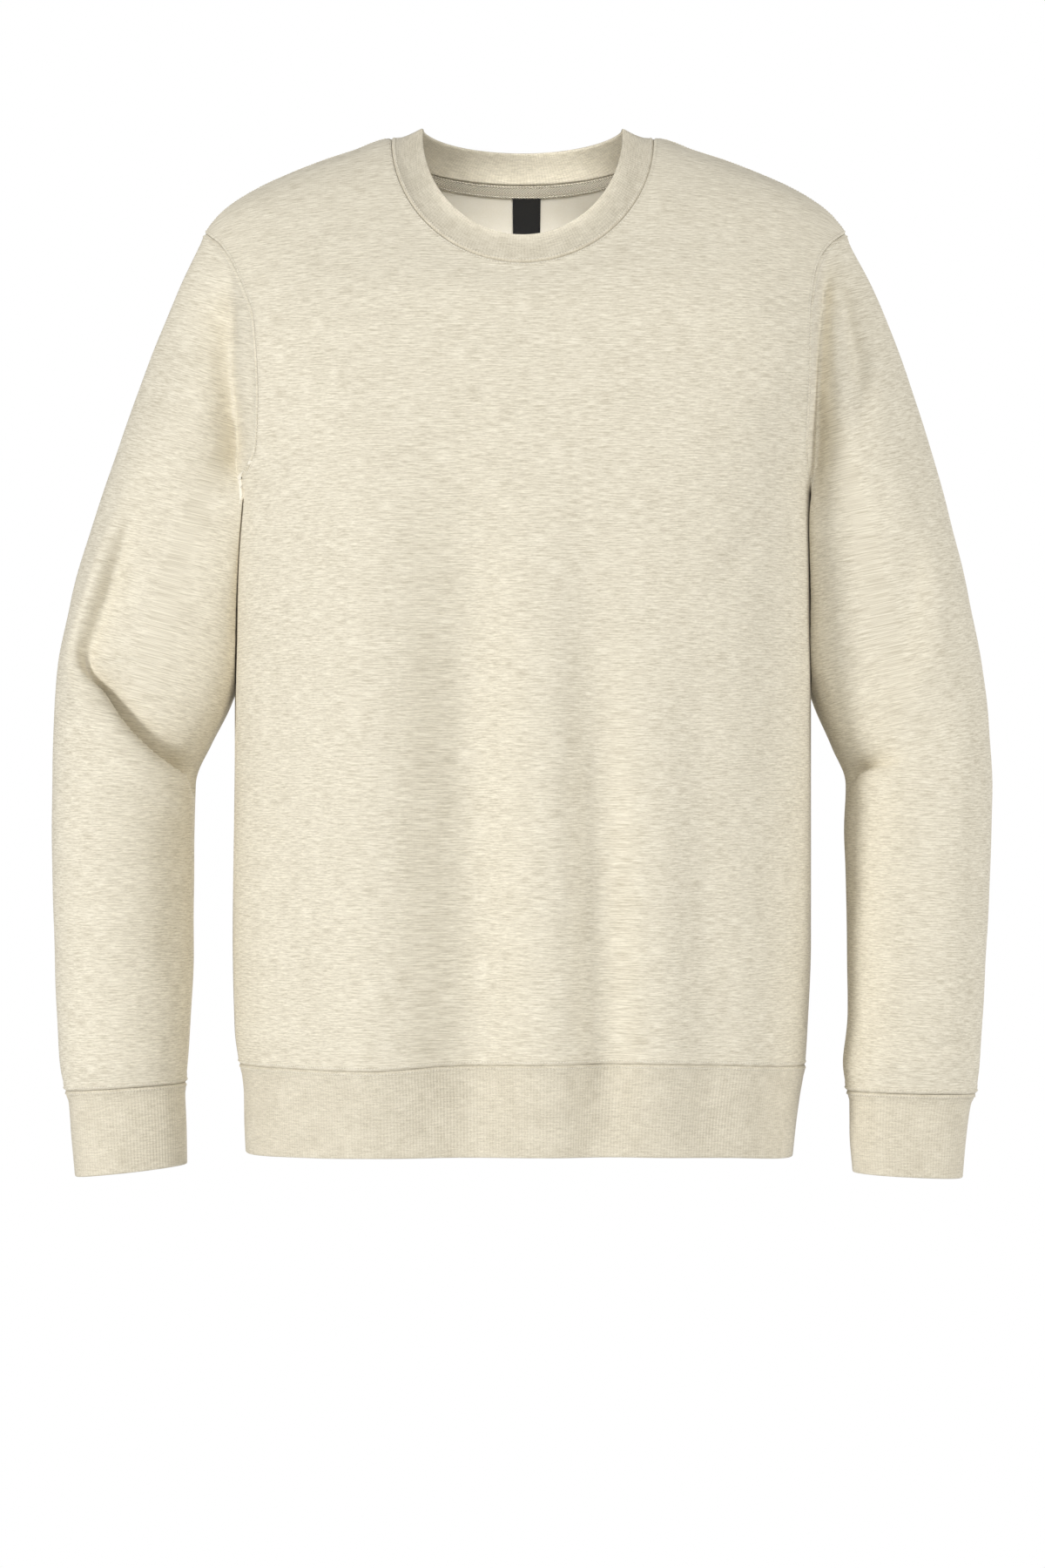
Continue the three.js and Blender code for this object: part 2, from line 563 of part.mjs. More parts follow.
// A tube through sections: share runs down it, angle from the outer point over the front
function tubeThrough(sections) {
  const table = sections.map((row, i) => ({ ...row, share: i / (sections.length - 1) }));
  const at = {};
  for (const key of Object.keys(sections[0])) at[key] = through(table, "share", key);
  const power = 2 / sleeveSquareness;
  const squared = (t) => Math.sign(t) * Math.abs(t) ** power;
  return (hand, share, angle) => {
    const outward = (1 + squared(Math.cos(angle))) / 2;
    const forward = squared(Math.sin(angle));
    const reach = forward > 0 ? at.fore(share) : at.aft(share);
    const x = mix(at.inX(share), at.outX(share), outward);
    const z = mix(at.inZ(share), at.outZ(share), outward);
    return vec(hand * x, at.midY(share) - forward * reach, z);
  };
}

// Depth of a fold's trough at a point seen from the front
function troughDepth(fold, p) {
  const parts = fold.line.slice(1).map(([x, z], i) => {
    const [fromX, fromZ] = fold.line[i];
    const along = { x: x - fromX, z: z - fromZ };
    const size = Math.hypot(along.x, along.z);
    const t = clamp01(((p.x - fromX) * along.x + (p.z - fromZ) * along.z) / size ** 2);
    const off = { x: p.x - fromX - t * along.x, z: p.z - fromZ - t * along.z };
    return { size, t, far: Math.hypot(off.x, off.z), isAbove: off.z > 0 };
  });
  const length = parts.reduce((sum, part) => sum + part.size, 0);
  const nearest = parts.reduce((a, b) => (b.far < a.far ? b : a));
  const before = parts.slice(0, parts.indexOf(nearest)).reduce((sum, part) => sum + part.size, 0);
  const share = (before + nearest.t * nearest.size) / length;
  const starting = fold.start ? ease(share / fold.start) : 1;
  const ending = fold.end ? ease((1 - share) / fold.end) : 1;
  const reach = nearest.isAbove ? fold.above : fold.below;
  return fold.deep * starting * ending * Math.exp(-((nearest.far / reach) ** 1.6));
}

// Moves a sleeve point out of the body, to at least a margin from its surface
function clearOfBody(p, hand, margin) {
  const side = p.y < 0 ? -1 : 1;
  const across = Math.abs(p.x) / (halfWidth(hand, p.z) + margin);
  const deep = Math.abs(p.y) / (fullDepth(side, p.x, p.z) + margin);
  const share = (across ** bodySquareness + deep ** bodySquareness) ** (1 / bodySquareness);
  if (share >= 1) return;
  p.x /= share;
  p.y /= share;
}

const around = 2 * armholeRows;
const ringAngles = Array.from({ length: around }, (_, j) => (j / around) * 360 * degrees);

function sleeve(hand, sections, folds) {
  const seam = ringAngles.map((_, j) => {
    const side = j <= armholeRows ? -1 : 1;
    const row = Math.abs(armholeRows - j);
    return { row, point: armholePoint(side, hand, row) };
  });
  const tube = tubeThrough(sections);
  const rows = [];
  for (let i = 0; i <= sleeveRows; i++) {
    const share = i / sleeveRows;
    const leaving = 1 - ease(share / armholeBlend);
    rows.push(ringAngles.map((angle, j) => {
      // Near the underarm the cloth first stands out from the seam, and only then turns down
      const low = ease(1 - seam[j].row / (0.7 * armholeRows));
      const gone = share * mix(1, ease(share / 0.2), low);
      const p = tube(hand, gone, angle);
      p.addScaledVector(seam[j].point.clone().sub(tube(hand, 0, angle)), leaving);
      const standing = ease(share / 0.07) * (1 - ease((share - 0.07) / 0.13));
      const strip = underarmStrip * low * mix(0.25, 1, ease(seam[j].row / 4));
      p.x += hand * strip * standing;
      const middle = tube(hand, share, 0).lerp(tube(hand, share, Math.PI), 0.5);
      const inward = middle.sub(p).normalize();
      for (const fold of folds) {
        const shown = clamp01(-Math.sin(angle) * fold.side * 1.6) * ease(share / 0.06);
        if (shown > 0) p.addScaledVector(inward, shown * troughDepth(fold, p));
      }
      if (i > 0 && p.z < -170) clearOfBody(p, hand, bodyClearance * ease(share / 0.1));
      return p;
    }));
  }
  rows[0].forEach((p, j) => {
    const tangent = seam[(j + 1) % around].point.clone().sub(seam[(j + around - 1) % around].point);
    const away = tangent.cross(armholeInward(p, vec(0, 0, 0), armholeRows)).normalize();
    p.addScaledVector(away, Math.sign(away.x) * hand * armholeGap);
  });
  const normals = normalsOf(rows, true, hand);
  const insets = normals.map((line, i) => line.map((normal, j) => {
    const { point, row } = seam[j];
    const inward = i === 0 ? armholeInward(point, vec(hand, 0, 0), row) : normal.clone().negate();
    if (i === sleeveRows) inward.setZ(0).normalize();
    return inward.multiplyScalar(fleeceThick);
  }));
  return wall(rows, insets, true);
}

function cuff(hand, sections) {
  const tube = tubeThrough(sections);
  const rows = [0, 0.2, 0.45, 0.72, 1].map((share) => ringAngles.map((angle) => {
    const p = tube(hand, share, angle);
    if (share === 0) p.z -= seamGap;
    return p;
  }));
  return ribWall(rows, (_, normal) => normal.clone().negate().setZ(0).normalize(), hand);
}

// A spot on the inner face of the back panel, a distance down one of its columns from the neck seam
function innerSpot(column, down) {
  const { rows, insets, columns } = panelOn(1);
  const k = columns.indexOf(column);
  let left = down;
  for (let i = rows.length - 1; i > 0; i--) {
    const step = rows[i][k].distanceTo(rows[i - 1][k]);
    if (left <= step) {
      const point = rows[i][k].clone().lerp(rows[i - 1][k], left / step);
      const inward = insets[i][k].clone().lerp(insets[i - 1][k], left / step);
      return { point: point.add(inward), inward: inward.normalize() };
    }
    left -= step;
  }
  throw new RangeError("below the panel");
}
function innerSpotBetween(column, down) {
  const from = Math.floor(column);
  const a = innerSpot(from, down);
  if (column === from) return a;
  const b = innerSpot(from + 1, down);
  return {
    point: a.point.lerp(b.point, column - from),
    inward: a.inward.lerp(b.inward, column - from).normalize(),
  };
}

// A strip laid on the inner face of the back panel
function laidInside(columns, downs, thick, lift) {
  const spots = downs.map((down) => columns.map((column) => innerSpotBetween(column, down)));
  const rows = spots.map((line, i) => line.map(({ point, inward }) =>
    point.clone().addScaledVector(inward, seamGap + lift(i / (downs.length - 1)))));
  const insets = spots.map((line) => line.map(({ inward }) => inward.clone().multiplyScalar(thick)));
  return wall(rows, insets, false);
}

function neckTape() {
  const columns = [];
  for (let j = -tapeColumns; j <= tapeColumns; j++) columns.push(j);
  return laidInside(columns, [tapeTop, mix(tapeTop, tapeFoot, 0.5), tapeFoot], tapeThick, () => 0);
}

function neckLabel() {
  const downs = [0, 0.25, 0.5, 0.75, 1].map((share) => tapeFoot + seamGap + labelTall * share);
  const columns = labelAcross.map((x) => x / topEdge(1, 1).x);
  return laidInside(columns, downs, labelThick, (share) => labelSwing * share);
}

const fleece = { color: 0xe6dec9, roughness: 0.95, metalness: 0 };
const rib = { color: 0xddd5c0, roughness: 0.95, metalness: 0 };
const tapeCloth = { color: 0xd9d0bb, roughness: 0.9, metalness: 0 };
const labelCloth = { color: 0x1b1b1c, roughness: 0.7, metalness: 0 };

function piece(name, geometry, finish) {
  const mesh = new THREE.Mesh(geometry, new THREE.MeshStandardMaterial(finish));
  mesh.name = name;
  return mesh;
}

const sweatshirt = new THREE.Group();
sweatshirt.name = "sweatshirt";
sweatshirt.add(
  piece("front_panel", wall(panelOn(-1).rows, panelOn(-1).insets, false), fleece),
  piece("back_panel", wall(panelOn(1).rows, panelOn(1).insets, false), fleece),
  piece("right_sleeve", sleeve(-1, rightSleeveSections, rightSleeveFolds), fleece),
  piece("left_sleeve", sleeve(1, leftSleeveSections, leftSleeveFolds), fleece),
  piece("neckband", neckband(), rib),
  piece("waistband", waistband(), rib),
  piece("right_cuff", cuff(-1, rightCuffSections), rib),
  piece("left_cuff", cuff(1, leftCuffSections), rib),
  piece("neck_tape", neckTape(), tapeCloth),
  piece("neck_label", neckLabel(), labelCloth),
);

export default sweatshirt;
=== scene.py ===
# A crewneck sweatshirt in cream heather fleece with fine rib trims, filled out as worn with nobody inside.
# The tables are in millimetres. The front faces -Y and the wearer's left is +X.
import math

import bpy
import numpy as np
from mathutils.kdtree import KDTree
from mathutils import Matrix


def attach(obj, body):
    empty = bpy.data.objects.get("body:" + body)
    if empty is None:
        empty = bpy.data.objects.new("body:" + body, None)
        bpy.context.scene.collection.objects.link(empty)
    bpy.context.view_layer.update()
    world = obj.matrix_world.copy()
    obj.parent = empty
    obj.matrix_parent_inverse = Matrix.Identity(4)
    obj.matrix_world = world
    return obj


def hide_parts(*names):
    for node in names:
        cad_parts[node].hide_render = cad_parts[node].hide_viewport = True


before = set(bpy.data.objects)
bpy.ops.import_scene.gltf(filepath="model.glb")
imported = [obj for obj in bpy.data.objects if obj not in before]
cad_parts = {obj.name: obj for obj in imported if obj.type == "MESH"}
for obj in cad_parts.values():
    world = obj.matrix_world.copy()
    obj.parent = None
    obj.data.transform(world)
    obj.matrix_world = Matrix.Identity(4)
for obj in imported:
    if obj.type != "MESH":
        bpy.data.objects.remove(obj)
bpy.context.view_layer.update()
print("frame loaded with", len(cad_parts), "solids")

mm = 0.001


# Small sums on arrays

def mix(a, b, t):
    return a + (b - a) * t


def clamp01(t):
    return np.clip(t, 0.0, 1.0)


def ease(t):
    t = clamp01(t)
    return t * t * (3 - 2 * t)


def points(x, y, z):
    return np.stack(np.broadcast_arrays(x, y, z), axis=-1).astype(float)


def unit(v):
    return v / np.maximum(np.linalg.norm(v, axis=-1, keepdims=True), 1e-9)


def rowsOf(names, rows):
    return [dict(zip(names.split(), row)) for row in rows]


def through(rows, key, column):
    # a smooth curve through a table's rows, with no overshoot between them
    rows = sorted(rows, key=lambda row: row[key])
    at = np.array([row[key] for row in rows], float)
    value = np.array([row[column] for row in rows], float)
    slope = np.diff(value) / np.diff(at)
    inner = [0 if a * b <= 0 else 2 * a * b / (a + b) for a, b in zip(slope, slope[1:])]
    tangent = np.array([slope[0], *inner, slope[-1]])

    def curve(x):
        x = np.clip(np.asarray(x, float), at[0], at[-1])
        i = np.clip(np.searchsorted(at, x, side="right") - 1, 0, len(at) - 2)
        h = at[i + 1] - at[i]
        t = (x - at[i]) / h
        rise = t * t * (3 - 2 * t)
        return (value[i] + (value[i + 1] - value[i]) * rise
                + h * tangent[i] * t * (1 - t) ** 2 - h * tangent[i + 1] * t * t * (1 - t))

    return curve


# The body: its sections, its edges and the upright folds in it

body = dict(
    neckHalf=94, frontNeckDrop=96, backNeckDrop=25,
    tipRight=227.5, tipLeft=231.5, tipZ=-68,
    underarmZ=-255, underarmDip=25, squareness=2.5,
    neckColumns=10, halfColumns=17,
    thick=2.1,
    sections=rowsOf("z right left front back", [
        (-730, 198.5, 193.5, 113, 108), (-705, 199.4, 196, 114, 109), (-685, 199.7, 198.8, 116, 111),
        (-668, 201.6, 201.6, 117, 112), (-658, 203.1, 202.3, 118, 113), (-640, 205.4, 203.4, 120.5, 115),
        (-575, 206.9, 206, 124, 115), (-430, 205.4, 206, 127, 109), (-300, 205.4, 206, 127, 114),
        (-255, 205.4, 206, 125, 119), (-220, 212, 213, 121, 122), (-170, 221, 223, 112, 122),
        (-110, 228, 231, 96, 118), (-60, 232, 236, 84, 112), (10, 236, 240, 78, 107)]),
    hem=rowsOf("x frontSeam frontEdge backSeam backEdge", [
        (-205, -662, -726, -662, -726), (-110, -662.8, -724.5, -660.5, -725),
        (-50, -659.5, -723.6, -660, -724.6), (80, -657.6, -723.4, -660.2, -725),
        (150, -660, -725, -661.3, -726.3), (205, -663, -728.6, -663, -728.6)]),
    shoulder=rowsOf("out z", [
        (0, 1), (0.412, 0), (0.535, -9), (0.658, -18.5), (0.754, -27.5),
        (0.838, -36.5), (0.908, -46), (0.956, -55), (1, -68), (1.06, -95)]),
    armhole=rowsOf("z right left backRight backLeft", [
        (-255, 205.4, 206, 205.4, 206), (-240, 194, 202, 198, 201), (-224, 188, 200.5, 193.5, 197),
        (-190, 186.5, 202, 191, 195), (-133, 190, 203.5, 194, 198), (-114, 196.5, 205.5, 199, 203),
        (-93, 206, 210, 209, 212), (-78, 216, 219.5, 218.5, 222), (-68, 227.5, 231.5, 227.5, 231.5)]),
    frontRidges=rowsOf("top full xTop xFoot wideRight wideLeft high", [
        (-60, -430, -114, -111, 74, 72, 18), (-80, -440, -42, -38, 72, 56, -12),
        (-180, -440, 12, 22, 60, 36, 12), (-240, -480, 50, 56, 36, 34, -6), (-300, -540, 90, 98, 40, 36, 10.5),
        (-430, -620, 160, 168, 34, 26, 3), (-520, -640, -170, -172, 22, 22, 2)]),
    backRidges=rowsOf("top full xTop xFoot wideRight wideLeft high", [
        (-140, -560, 112, 96, 64, 48, 8), (-250, -600, 22, 8, 44, 52, 6.5),
        (-180, -520, -70, -84, 60, 46, 8), (-400, -620, -150, -160, 32, 30, 4.5)]),
    # small creases lie along a line of points seen from the front; side -1 is the front
    creases=[
        dict(side=-1, deep=1.6, reach=7, line=[(-196, -262), (-150, -300), (-118, -345)]),
        dict(side=-1, deep=1.2, reach=6, line=[(-192, -236), (-150, -226), (-120, -232)]),
        dict(side=-1, deep=1.8, reach=9, line=[(198, -258), (160, -290), (128, -338)]),
        dict(side=-1, deep=1.3, reach=6, line=[(201, -225), (176, -206), (150, -200)]),
        dict(side=-1, deep=1.4, reach=5, line=[(122, -628), (140, -640), (162, -644)]),
        dict(side=-1, deep=1.1, reach=4, line=[(134, -615), (150, -626), (166, -630)]),
        dict(side=1, deep=1.8, reach=8, line=[(-190, -262), (-150, -296), (-110, -344)]),
        dict(side=1, deep=1.8, reach=8, line=[(190, -262), (152, -300), (120, -352)]),
        dict(side=1, deep=1.4, reach=10, line=[(-100, -52), (-40, -72), (40, -72), (100, -52)]),
        dict(side=1, deep=1.5, reach=6, line=[(-150, -618), (-120, -634), (-80, -640)]),
        dict(side=1, deep=1.5, reach=6, line=[(70, -636), (112, -630), (150, -612)]),
    ],
)


def curvesOf(rows, key):
    return {name: through(rows, key, name) for name in rows[0] if name != key}


bodyCurve = curvesOf(body["sections"], "z")
hemCurve = curvesOf(body["hem"], "x")
armholeCurve = curvesOf(body["armhole"], "z")
shoulderCurve = through(body["shoulder"], "out", "z")


def halfWidth(hand, z):
    return np.where(np.asarray(hand) < 0, bodyCurve["right"](z), bodyCurve["left"](z))


def tipX(hand):
    return np.where(np.asarray(hand) < 0, body["tipRight"], body["tipLeft"])


def shoulderZ(x):
    return shoulderCurve(np.abs(x) / tipX(x))


def ridgeHeight(side, x, z):
    total = np.zeros(np.broadcast(x, z).shape)
    for ridge in body["frontRidges"] if side < 0 else body["backRidges"]:
        along = clamp01((ridge["top"] - z) / (ridge["top"] - ridge["full"]))
        crest = mix(ridge["xTop"], ridge["xFoot"], clamp01((ridge["top"] - z) / (ridge["top"] + 660)))
        wide = np.where(x < crest, ridge["wideRight"], ridge["wideLeft"])
        off = np.minimum(1, np.abs(x - crest) / wide)
        total += ridge["high"] * ease(along) * np.cos(off * math.pi / 2) ** 2
    return total * mix(1, 0.55, clamp01((-660 - z) / 65))  # the rib holds them flatter


def fullDepth(side, x, z):
    out = np.minimum(1, np.abs(x) / tipX(x))
    closing = 120 if side < 0 else mix(90, 112, out)
    power = mix(1.3, 1.9, out) if side < 0 else mix(1.6, 1.9, out)
    under = clamp01((shoulderZ(x) - z) / closing)
    top = (1 - (1 - under) ** power) ** (1 / power)
    return bodyCurve["front" if side < 0 else "back"](z) * top


def bodyPoint(side, x, z):
    across = np.minimum(1, np.abs(x) / halfWidth(x, z))
    level = (1 - across ** body["squareness"]) ** (1 / body["squareness"])
    depth = fullDepth(side, x, z)
    ridge = ridgeHeight(side, x, z) * np.minimum(1, depth / 60)
    return points(x, side * (depth + ridge) * level, z)


def neckAngle(column):
    return math.pi / 2 * (1 - (1 - np.minimum(1, np.abs(column) / body["neckColumns"])) ** 1.5)


def topEdge(side, column):
    hand = np.sign(column)
    away = np.abs(column)
    drop = body["frontNeckDrop"] if side < 0 else body["backNeckDrop"]
    angle = neckAngle(column)
    onShoulder = clamp01((away - body["neckColumns"]) / (body["halfColumns"] - body["neckColumns"]))
    x = hand * mix(body["neckHalf"], tipX(hand), onShoulder)
    isNeck = away < body["neckColumns"]
    return (np.where(isNeck, hand * body["neckHalf"] * np.sin(angle), x),
            np.where(isNeck, -drop * np.cos(angle), shoulderZ(x)))


def armholePath(side, hand):
    # the seam from the underarm to the shoulder tip, by its share of the length
    z = mix(body["underarmZ"], body["tipZ"], (1 - np.cos(np.linspace(0, math.pi, 601))) / 2)
    name = ("right" if hand < 0 else "left") if side < 0 else ("backRight" if hand < 0 else "backLeft")
    path = bodyPoint(side, hand * armholeCurve[name](z), z)
    path[[0, -1], 1] = 0
    gone = np.concatenate([[0], np.cumsum(np.linalg.norm(np.diff(path, axis=0), axis=1))])
    return lambda share: np.stack([np.interp(share, gone / gone[-1], path[:, k]) for k in range(3)], axis=-1)


armholeAt = {(side, hand): armholePath(side, hand) for side in (-1, 1) for hand in (-1, 1)}


def columnSpread(column):
    return np.sin(column / body["halfColumns"] * math.pi / 2)


def hemZ(side, column, share):
    x = 205 * columnSpread(column)
    name = "front" if side < 0 else "back"
    return mix(hemCurve[name + "Seam"](x), hemCurve[name + "Edge"](x), share)


def underarmRowZ(column):
    return body["underarmZ"] - body["underarmDip"] * (1 - (column / body["halfColumns"]) ** 4)


def upperPoint(side, column, share):
    # a panel's point above the underarm
    hand = np.where(column < 0, -1, 1)
    u = np.abs(column) / body["halfColumns"]
    seam = np.where((column < 0)[..., None], armholeAt[side, -1](share), armholeAt[side, 1](share))
    seamX, seamZ = np.abs(seam[..., 0]), seam[..., 2]
    topX, topZ = topEdge(side, column)
    seamShare = (seamZ - body["underarmZ"]) / (body["tipZ"] - body["underarmZ"])
    crowding = 1 + 0.7 * np.sin(u * math.pi)
    rise = 1 - (1 - mix(share, seamShare, u ** 1.5)) ** crowding
    turn = np.arcsin(np.minimum(1, seamX / halfWidth(hand, seamZ)))
    level = seamX * np.sin(u * turn) / np.sin(turn)
    onShoulder = clamp01((np.abs(column) - body["neckColumns"]) / (body["halfColumns"] - body["neckColumns"]))
    upper = np.abs(topX) + (seamX - tipX(hand)) * onShoulder
    return bodyPoint(side, hand * mix(level, upper, ease(share)), mix(underarmRowZ(column), topZ, rise))


def lowerPoint(side, column, share):
    # a panel's point below the underarm
    z = mix(hemZ(side, column, 0), underarmRowZ(column), share)
    return bodyPoint(side, halfWidth(column, z) * columnSpread(column), z)


def rounded(line):
    # a line with its corners cut off three times over
    line = np.array(line, float)
    for _ in range(3):
        cut = np.stack([mix(line[:-1], line[1:], 0.25), mix(line[:-1], line[1:], 0.75)], axis=1)
        line = np.concatenate([line[:1], cut.reshape(-1, 2), line[-1:]])
    return line


def foldAt(line, x, z):
    # the distance to a line of points seen from the front, more than 0 on its left as it goes along,
    # the share of its length there and its direction to the left
    line = rounded(line)
    sizes = np.linalg.norm(np.diff(line, axis=0), axis=1)
    best = np.full(np.shape(x), 1e9)
    share = np.zeros_like(best)
    isLeft = np.zeros(best.shape, bool)
    leftward = np.zeros((*best.shape, 2))
    for k, size in enumerate(sizes):
        along = line[k + 1] - line[k]
        t = clamp01(((x - line[k, 0]) * along[0] + (z - line[k, 1]) * along[1]) / size ** 2)
        offX, offZ = x - line[k, 0] - t * along[0], z - line[k, 1] - t * along[1]
        far = np.hypot(offX, offZ)
        near = far < best
        best = np.where(near, far, best)
        share = np.where(near, (sizes[:k].sum() + t * size) / sizes.sum(), share)
        isLeft = np.where(near, along[0] * offZ - along[1] * offX > 0, isLeft)
        leftward = np.where(near[..., None], np.array([-along[1], along[0]]) / size, leftward)
    return np.where(isLeft, best, -best), share, leftward


# Grids of points, and the cloth made from them

def normalsOf(grid, closed):
    if closed:
        right, left = np.roll(grid, -1, axis=1), np.roll(grid, 1, axis=1)
    else:
        right = np.concatenate([grid[:, 1:], grid[:, -1:]], axis=1)
        left = np.concatenate([grid[:, :1], grid[:, :-1]], axis=1)
    above = np.concatenate([grid[1:], grid[-1:]])
    below = np.concatenate([grid[:1], grid[:-1]])
    return unit(np.cross(right - left, above - below))


def arcLengths(grid, closed):
    # how far along its row and up its column each point lies; a closed grid gets one more column
    wrapped = np.concatenate([grid, grid[:, :1]], axis=1) if closed else grid
    across = np.linalg.norm(np.diff(wrapped, axis=1), axis=-1)
    across = np.concatenate([np.zeros((len(grid), 1)), np.cumsum(across, axis=1)], axis=1)
    across -= across[:, across.shape[1] // 2][:, None]
    up = np.linalg.norm(np.diff(wrapped, axis=0), axis=-1)
    up = np.concatenate([np.zeros((1, wrapped.shape[1])), np.cumsum(up, axis=0)])
    return np.stack([across, up], axis=-1)


def seamLine(path, closed=False):
    # points every 0.5 mm along a seam, with how far along it they lie
    path = np.asarray(path, float)
    if closed:
        path = np.concatenate([path, path[:1]])
    gone = np.concatenate([[0], np.cumsum(np.linalg.norm(np.diff(path, axis=0), axis=1))])
    at = np.arange(0, gone[-1], 0.5)
    return np.stack([np.interp(at, gone, path[:, k]) for k in range(3)], axis=-1), at


def distanceTo(grid, lines):
    # distance of each point of a grid to the nearest seam, and the place along that seam
    found = [seamLine(*line) if isinstance(line, tuple) else seamLine(line) for line in lines]
    spots = np.concatenate([spot for spot, _ in found])
    places = np.concatenate([place for _, place in found])
    tree = KDTree(len(spots))
    for k, spot in enumerate(spots):
        tree.insert(spot, k)
    tree.balance()
    flat = grid.reshape(-1, 3)
    nearest = [tree.find(p)[1:] for p in flat]
    far = np.array([d for _, d in nearest]).reshape(grid.shape[:2])
    along = places[[k for k, _ in nearest]].reshape(grid.shape[:2])
    return far, along


noSeam = 50.0  # given as the distance to a seam where none shows
seamShape = dict(rollDeep=0.7, rollReach=0.6, allowanceHigh=0.4, allowanceWide=6.0, beadHigh=0.6, beadAt=1.9)


def seamRise(far):
    # the cloth rolls in at a seam and is thicker over the seam allowance beside it
    roll = -seamShape["rollDeep"] * np.exp(-(far / seamShape["rollReach"]) ** 2)
    bead = seamShape["beadHigh"] * np.exp(-((far - seamShape["beadAt"]) / 0.9) ** 2)
    edge = seamShape["allowanceWide"]
    return roll + bead + seamShape["allowanceHigh"] * (1 - ease((far - edge + 1) / 2))


def unevenness(grid, seed, high=0.35):
    # slow soft waves, so that no stretch of cloth is quite smooth
    random = np.random.default_rng(seed)
    total = np.zeros(grid.shape[:2])
    for _ in range(9):
        direction = unit(random.normal(size=3))
        wave = 2 * math.pi / random.uniform(38, 110)
        total += np.sin(grid @ direction * wave + random.uniform(0, 6.3))
    return total * high / 3


def newMesh(name, vertices, faces, uvs, materials, materialOf, attributes):
    mesh = bpy.data.meshes.new(name)
    mesh.from_pydata((vertices * mm).tolist(), [], faces.tolist())
    layer = mesh.uv_layers.new(name="cloth")
    layer.uv.foreach_set("vector", (uvs.reshape(-1, 2) * mm).astype(np.float32).ravel())
    for key, values in attributes.items():
        mesh.attributes.new(key, "FLOAT", "POINT").data.foreach_set("value", values.astype(np.float32))
    for material in materials:
        mesh.materials.append(material)
    mesh.polygons.foreach_set("material_index", materialOf.astype(np.int32))
    mesh.polygons.foreach_set("use_smooth", np.ones(len(faces), bool))
    mesh.update()
    mesh.validate()
    piece = bpy.data.objects.new(name, mesh)
    bpy.context.scene.collection.objects.link(piece)
    return piece


def isInsideOut(vertices, faces):
    a, b, c, d = (vertices[faces[:, k]] for k in range(4))
    return (np.einsum("ij,ij->i", a, np.cross(b, c)) + np.einsum("ij,ij->i", a, np.cross(c, d))).sum() < 0


def clothWall(name, outer, inner, closed, materials, far, along, place=None):
    # a wall between an outer and an inner grid; the inner face takes the second material
    high, wide = outer.shape[:2]
    spans = wide if closed else wide - 1
    i, j = (a.ravel() for a in np.meshgrid(np.arange(high - 1), np.arange(spans), indexing="ij"))
    corners = [(i, j), (i, j + 1), (i + 1, j + 1), (i + 1, j)]
    at = lambda layer, row, column: layer * high * wide + row * wide + column % wide
    uvGrid = arcLengths(outer, closed) if place is None else place
    faces = [np.stack([at(0, *corner) for corner in corners], axis=1),
             np.stack([at(1, *corner) for corner in corners[::-1]], axis=1)]
    uvs = [np.stack([uvGrid[r, c] for r, c in corners], axis=1),
           np.stack([uvGrid[r, c] for r, c in corners[::-1]], axis=1)]
    edges = []
    columns = np.arange(spans)
    for row, flip in ((0, True), (high - 1, False)):
        rows = np.full(spans, row)
        edges.append(((rows, columns), (rows, columns + 1), flip))
    if not closed:
        rows = np.arange(high - 1)
        for column, flip in ((0, False), (wide - 1, True)):
            edges.append(((rows, np.full(high - 1, column)), (rows + 1, np.full(high - 1, column)), flip))
    for a, b, flip in edges:
        loop = [at(0, *a), at(0, *b), at(1, *b), at(1, *a)]
        places = [uvGrid[a], uvGrid[b], uvGrid[b], uvGrid[a]]
        # the rim turns the same way round as the outer face does
        order = 1 if flip else -1
        faces.append(np.stack(loop[::order], axis=1))
        uvs.append(np.stack(places[::order], axis=1))
    count = [len(f) for f in faces]
    faces, uvs = np.concatenate(faces), np.concatenate(uvs)
    vertices = np.concatenate([outer.reshape(-1, 3), inner.reshape(-1, 3)])
    if isInsideOut(vertices, faces):
        faces, uvs = faces[:, ::-1], uvs[:, ::-1]
    materialOf = np.zeros(len(faces))
    materialOf[count[0]:count[0] + count[1]] = len(materials) - 1
    attributes = {
        "seamFar": np.concatenate([far.ravel(), np.full(far.size, noSeam)]) * mm,
        "seamAlong": np.concatenate([along.ravel(), along.ravel()]) * mm,
    }
    return newMesh(name, vertices, faces, uvs, materials, materialOf, attributes)


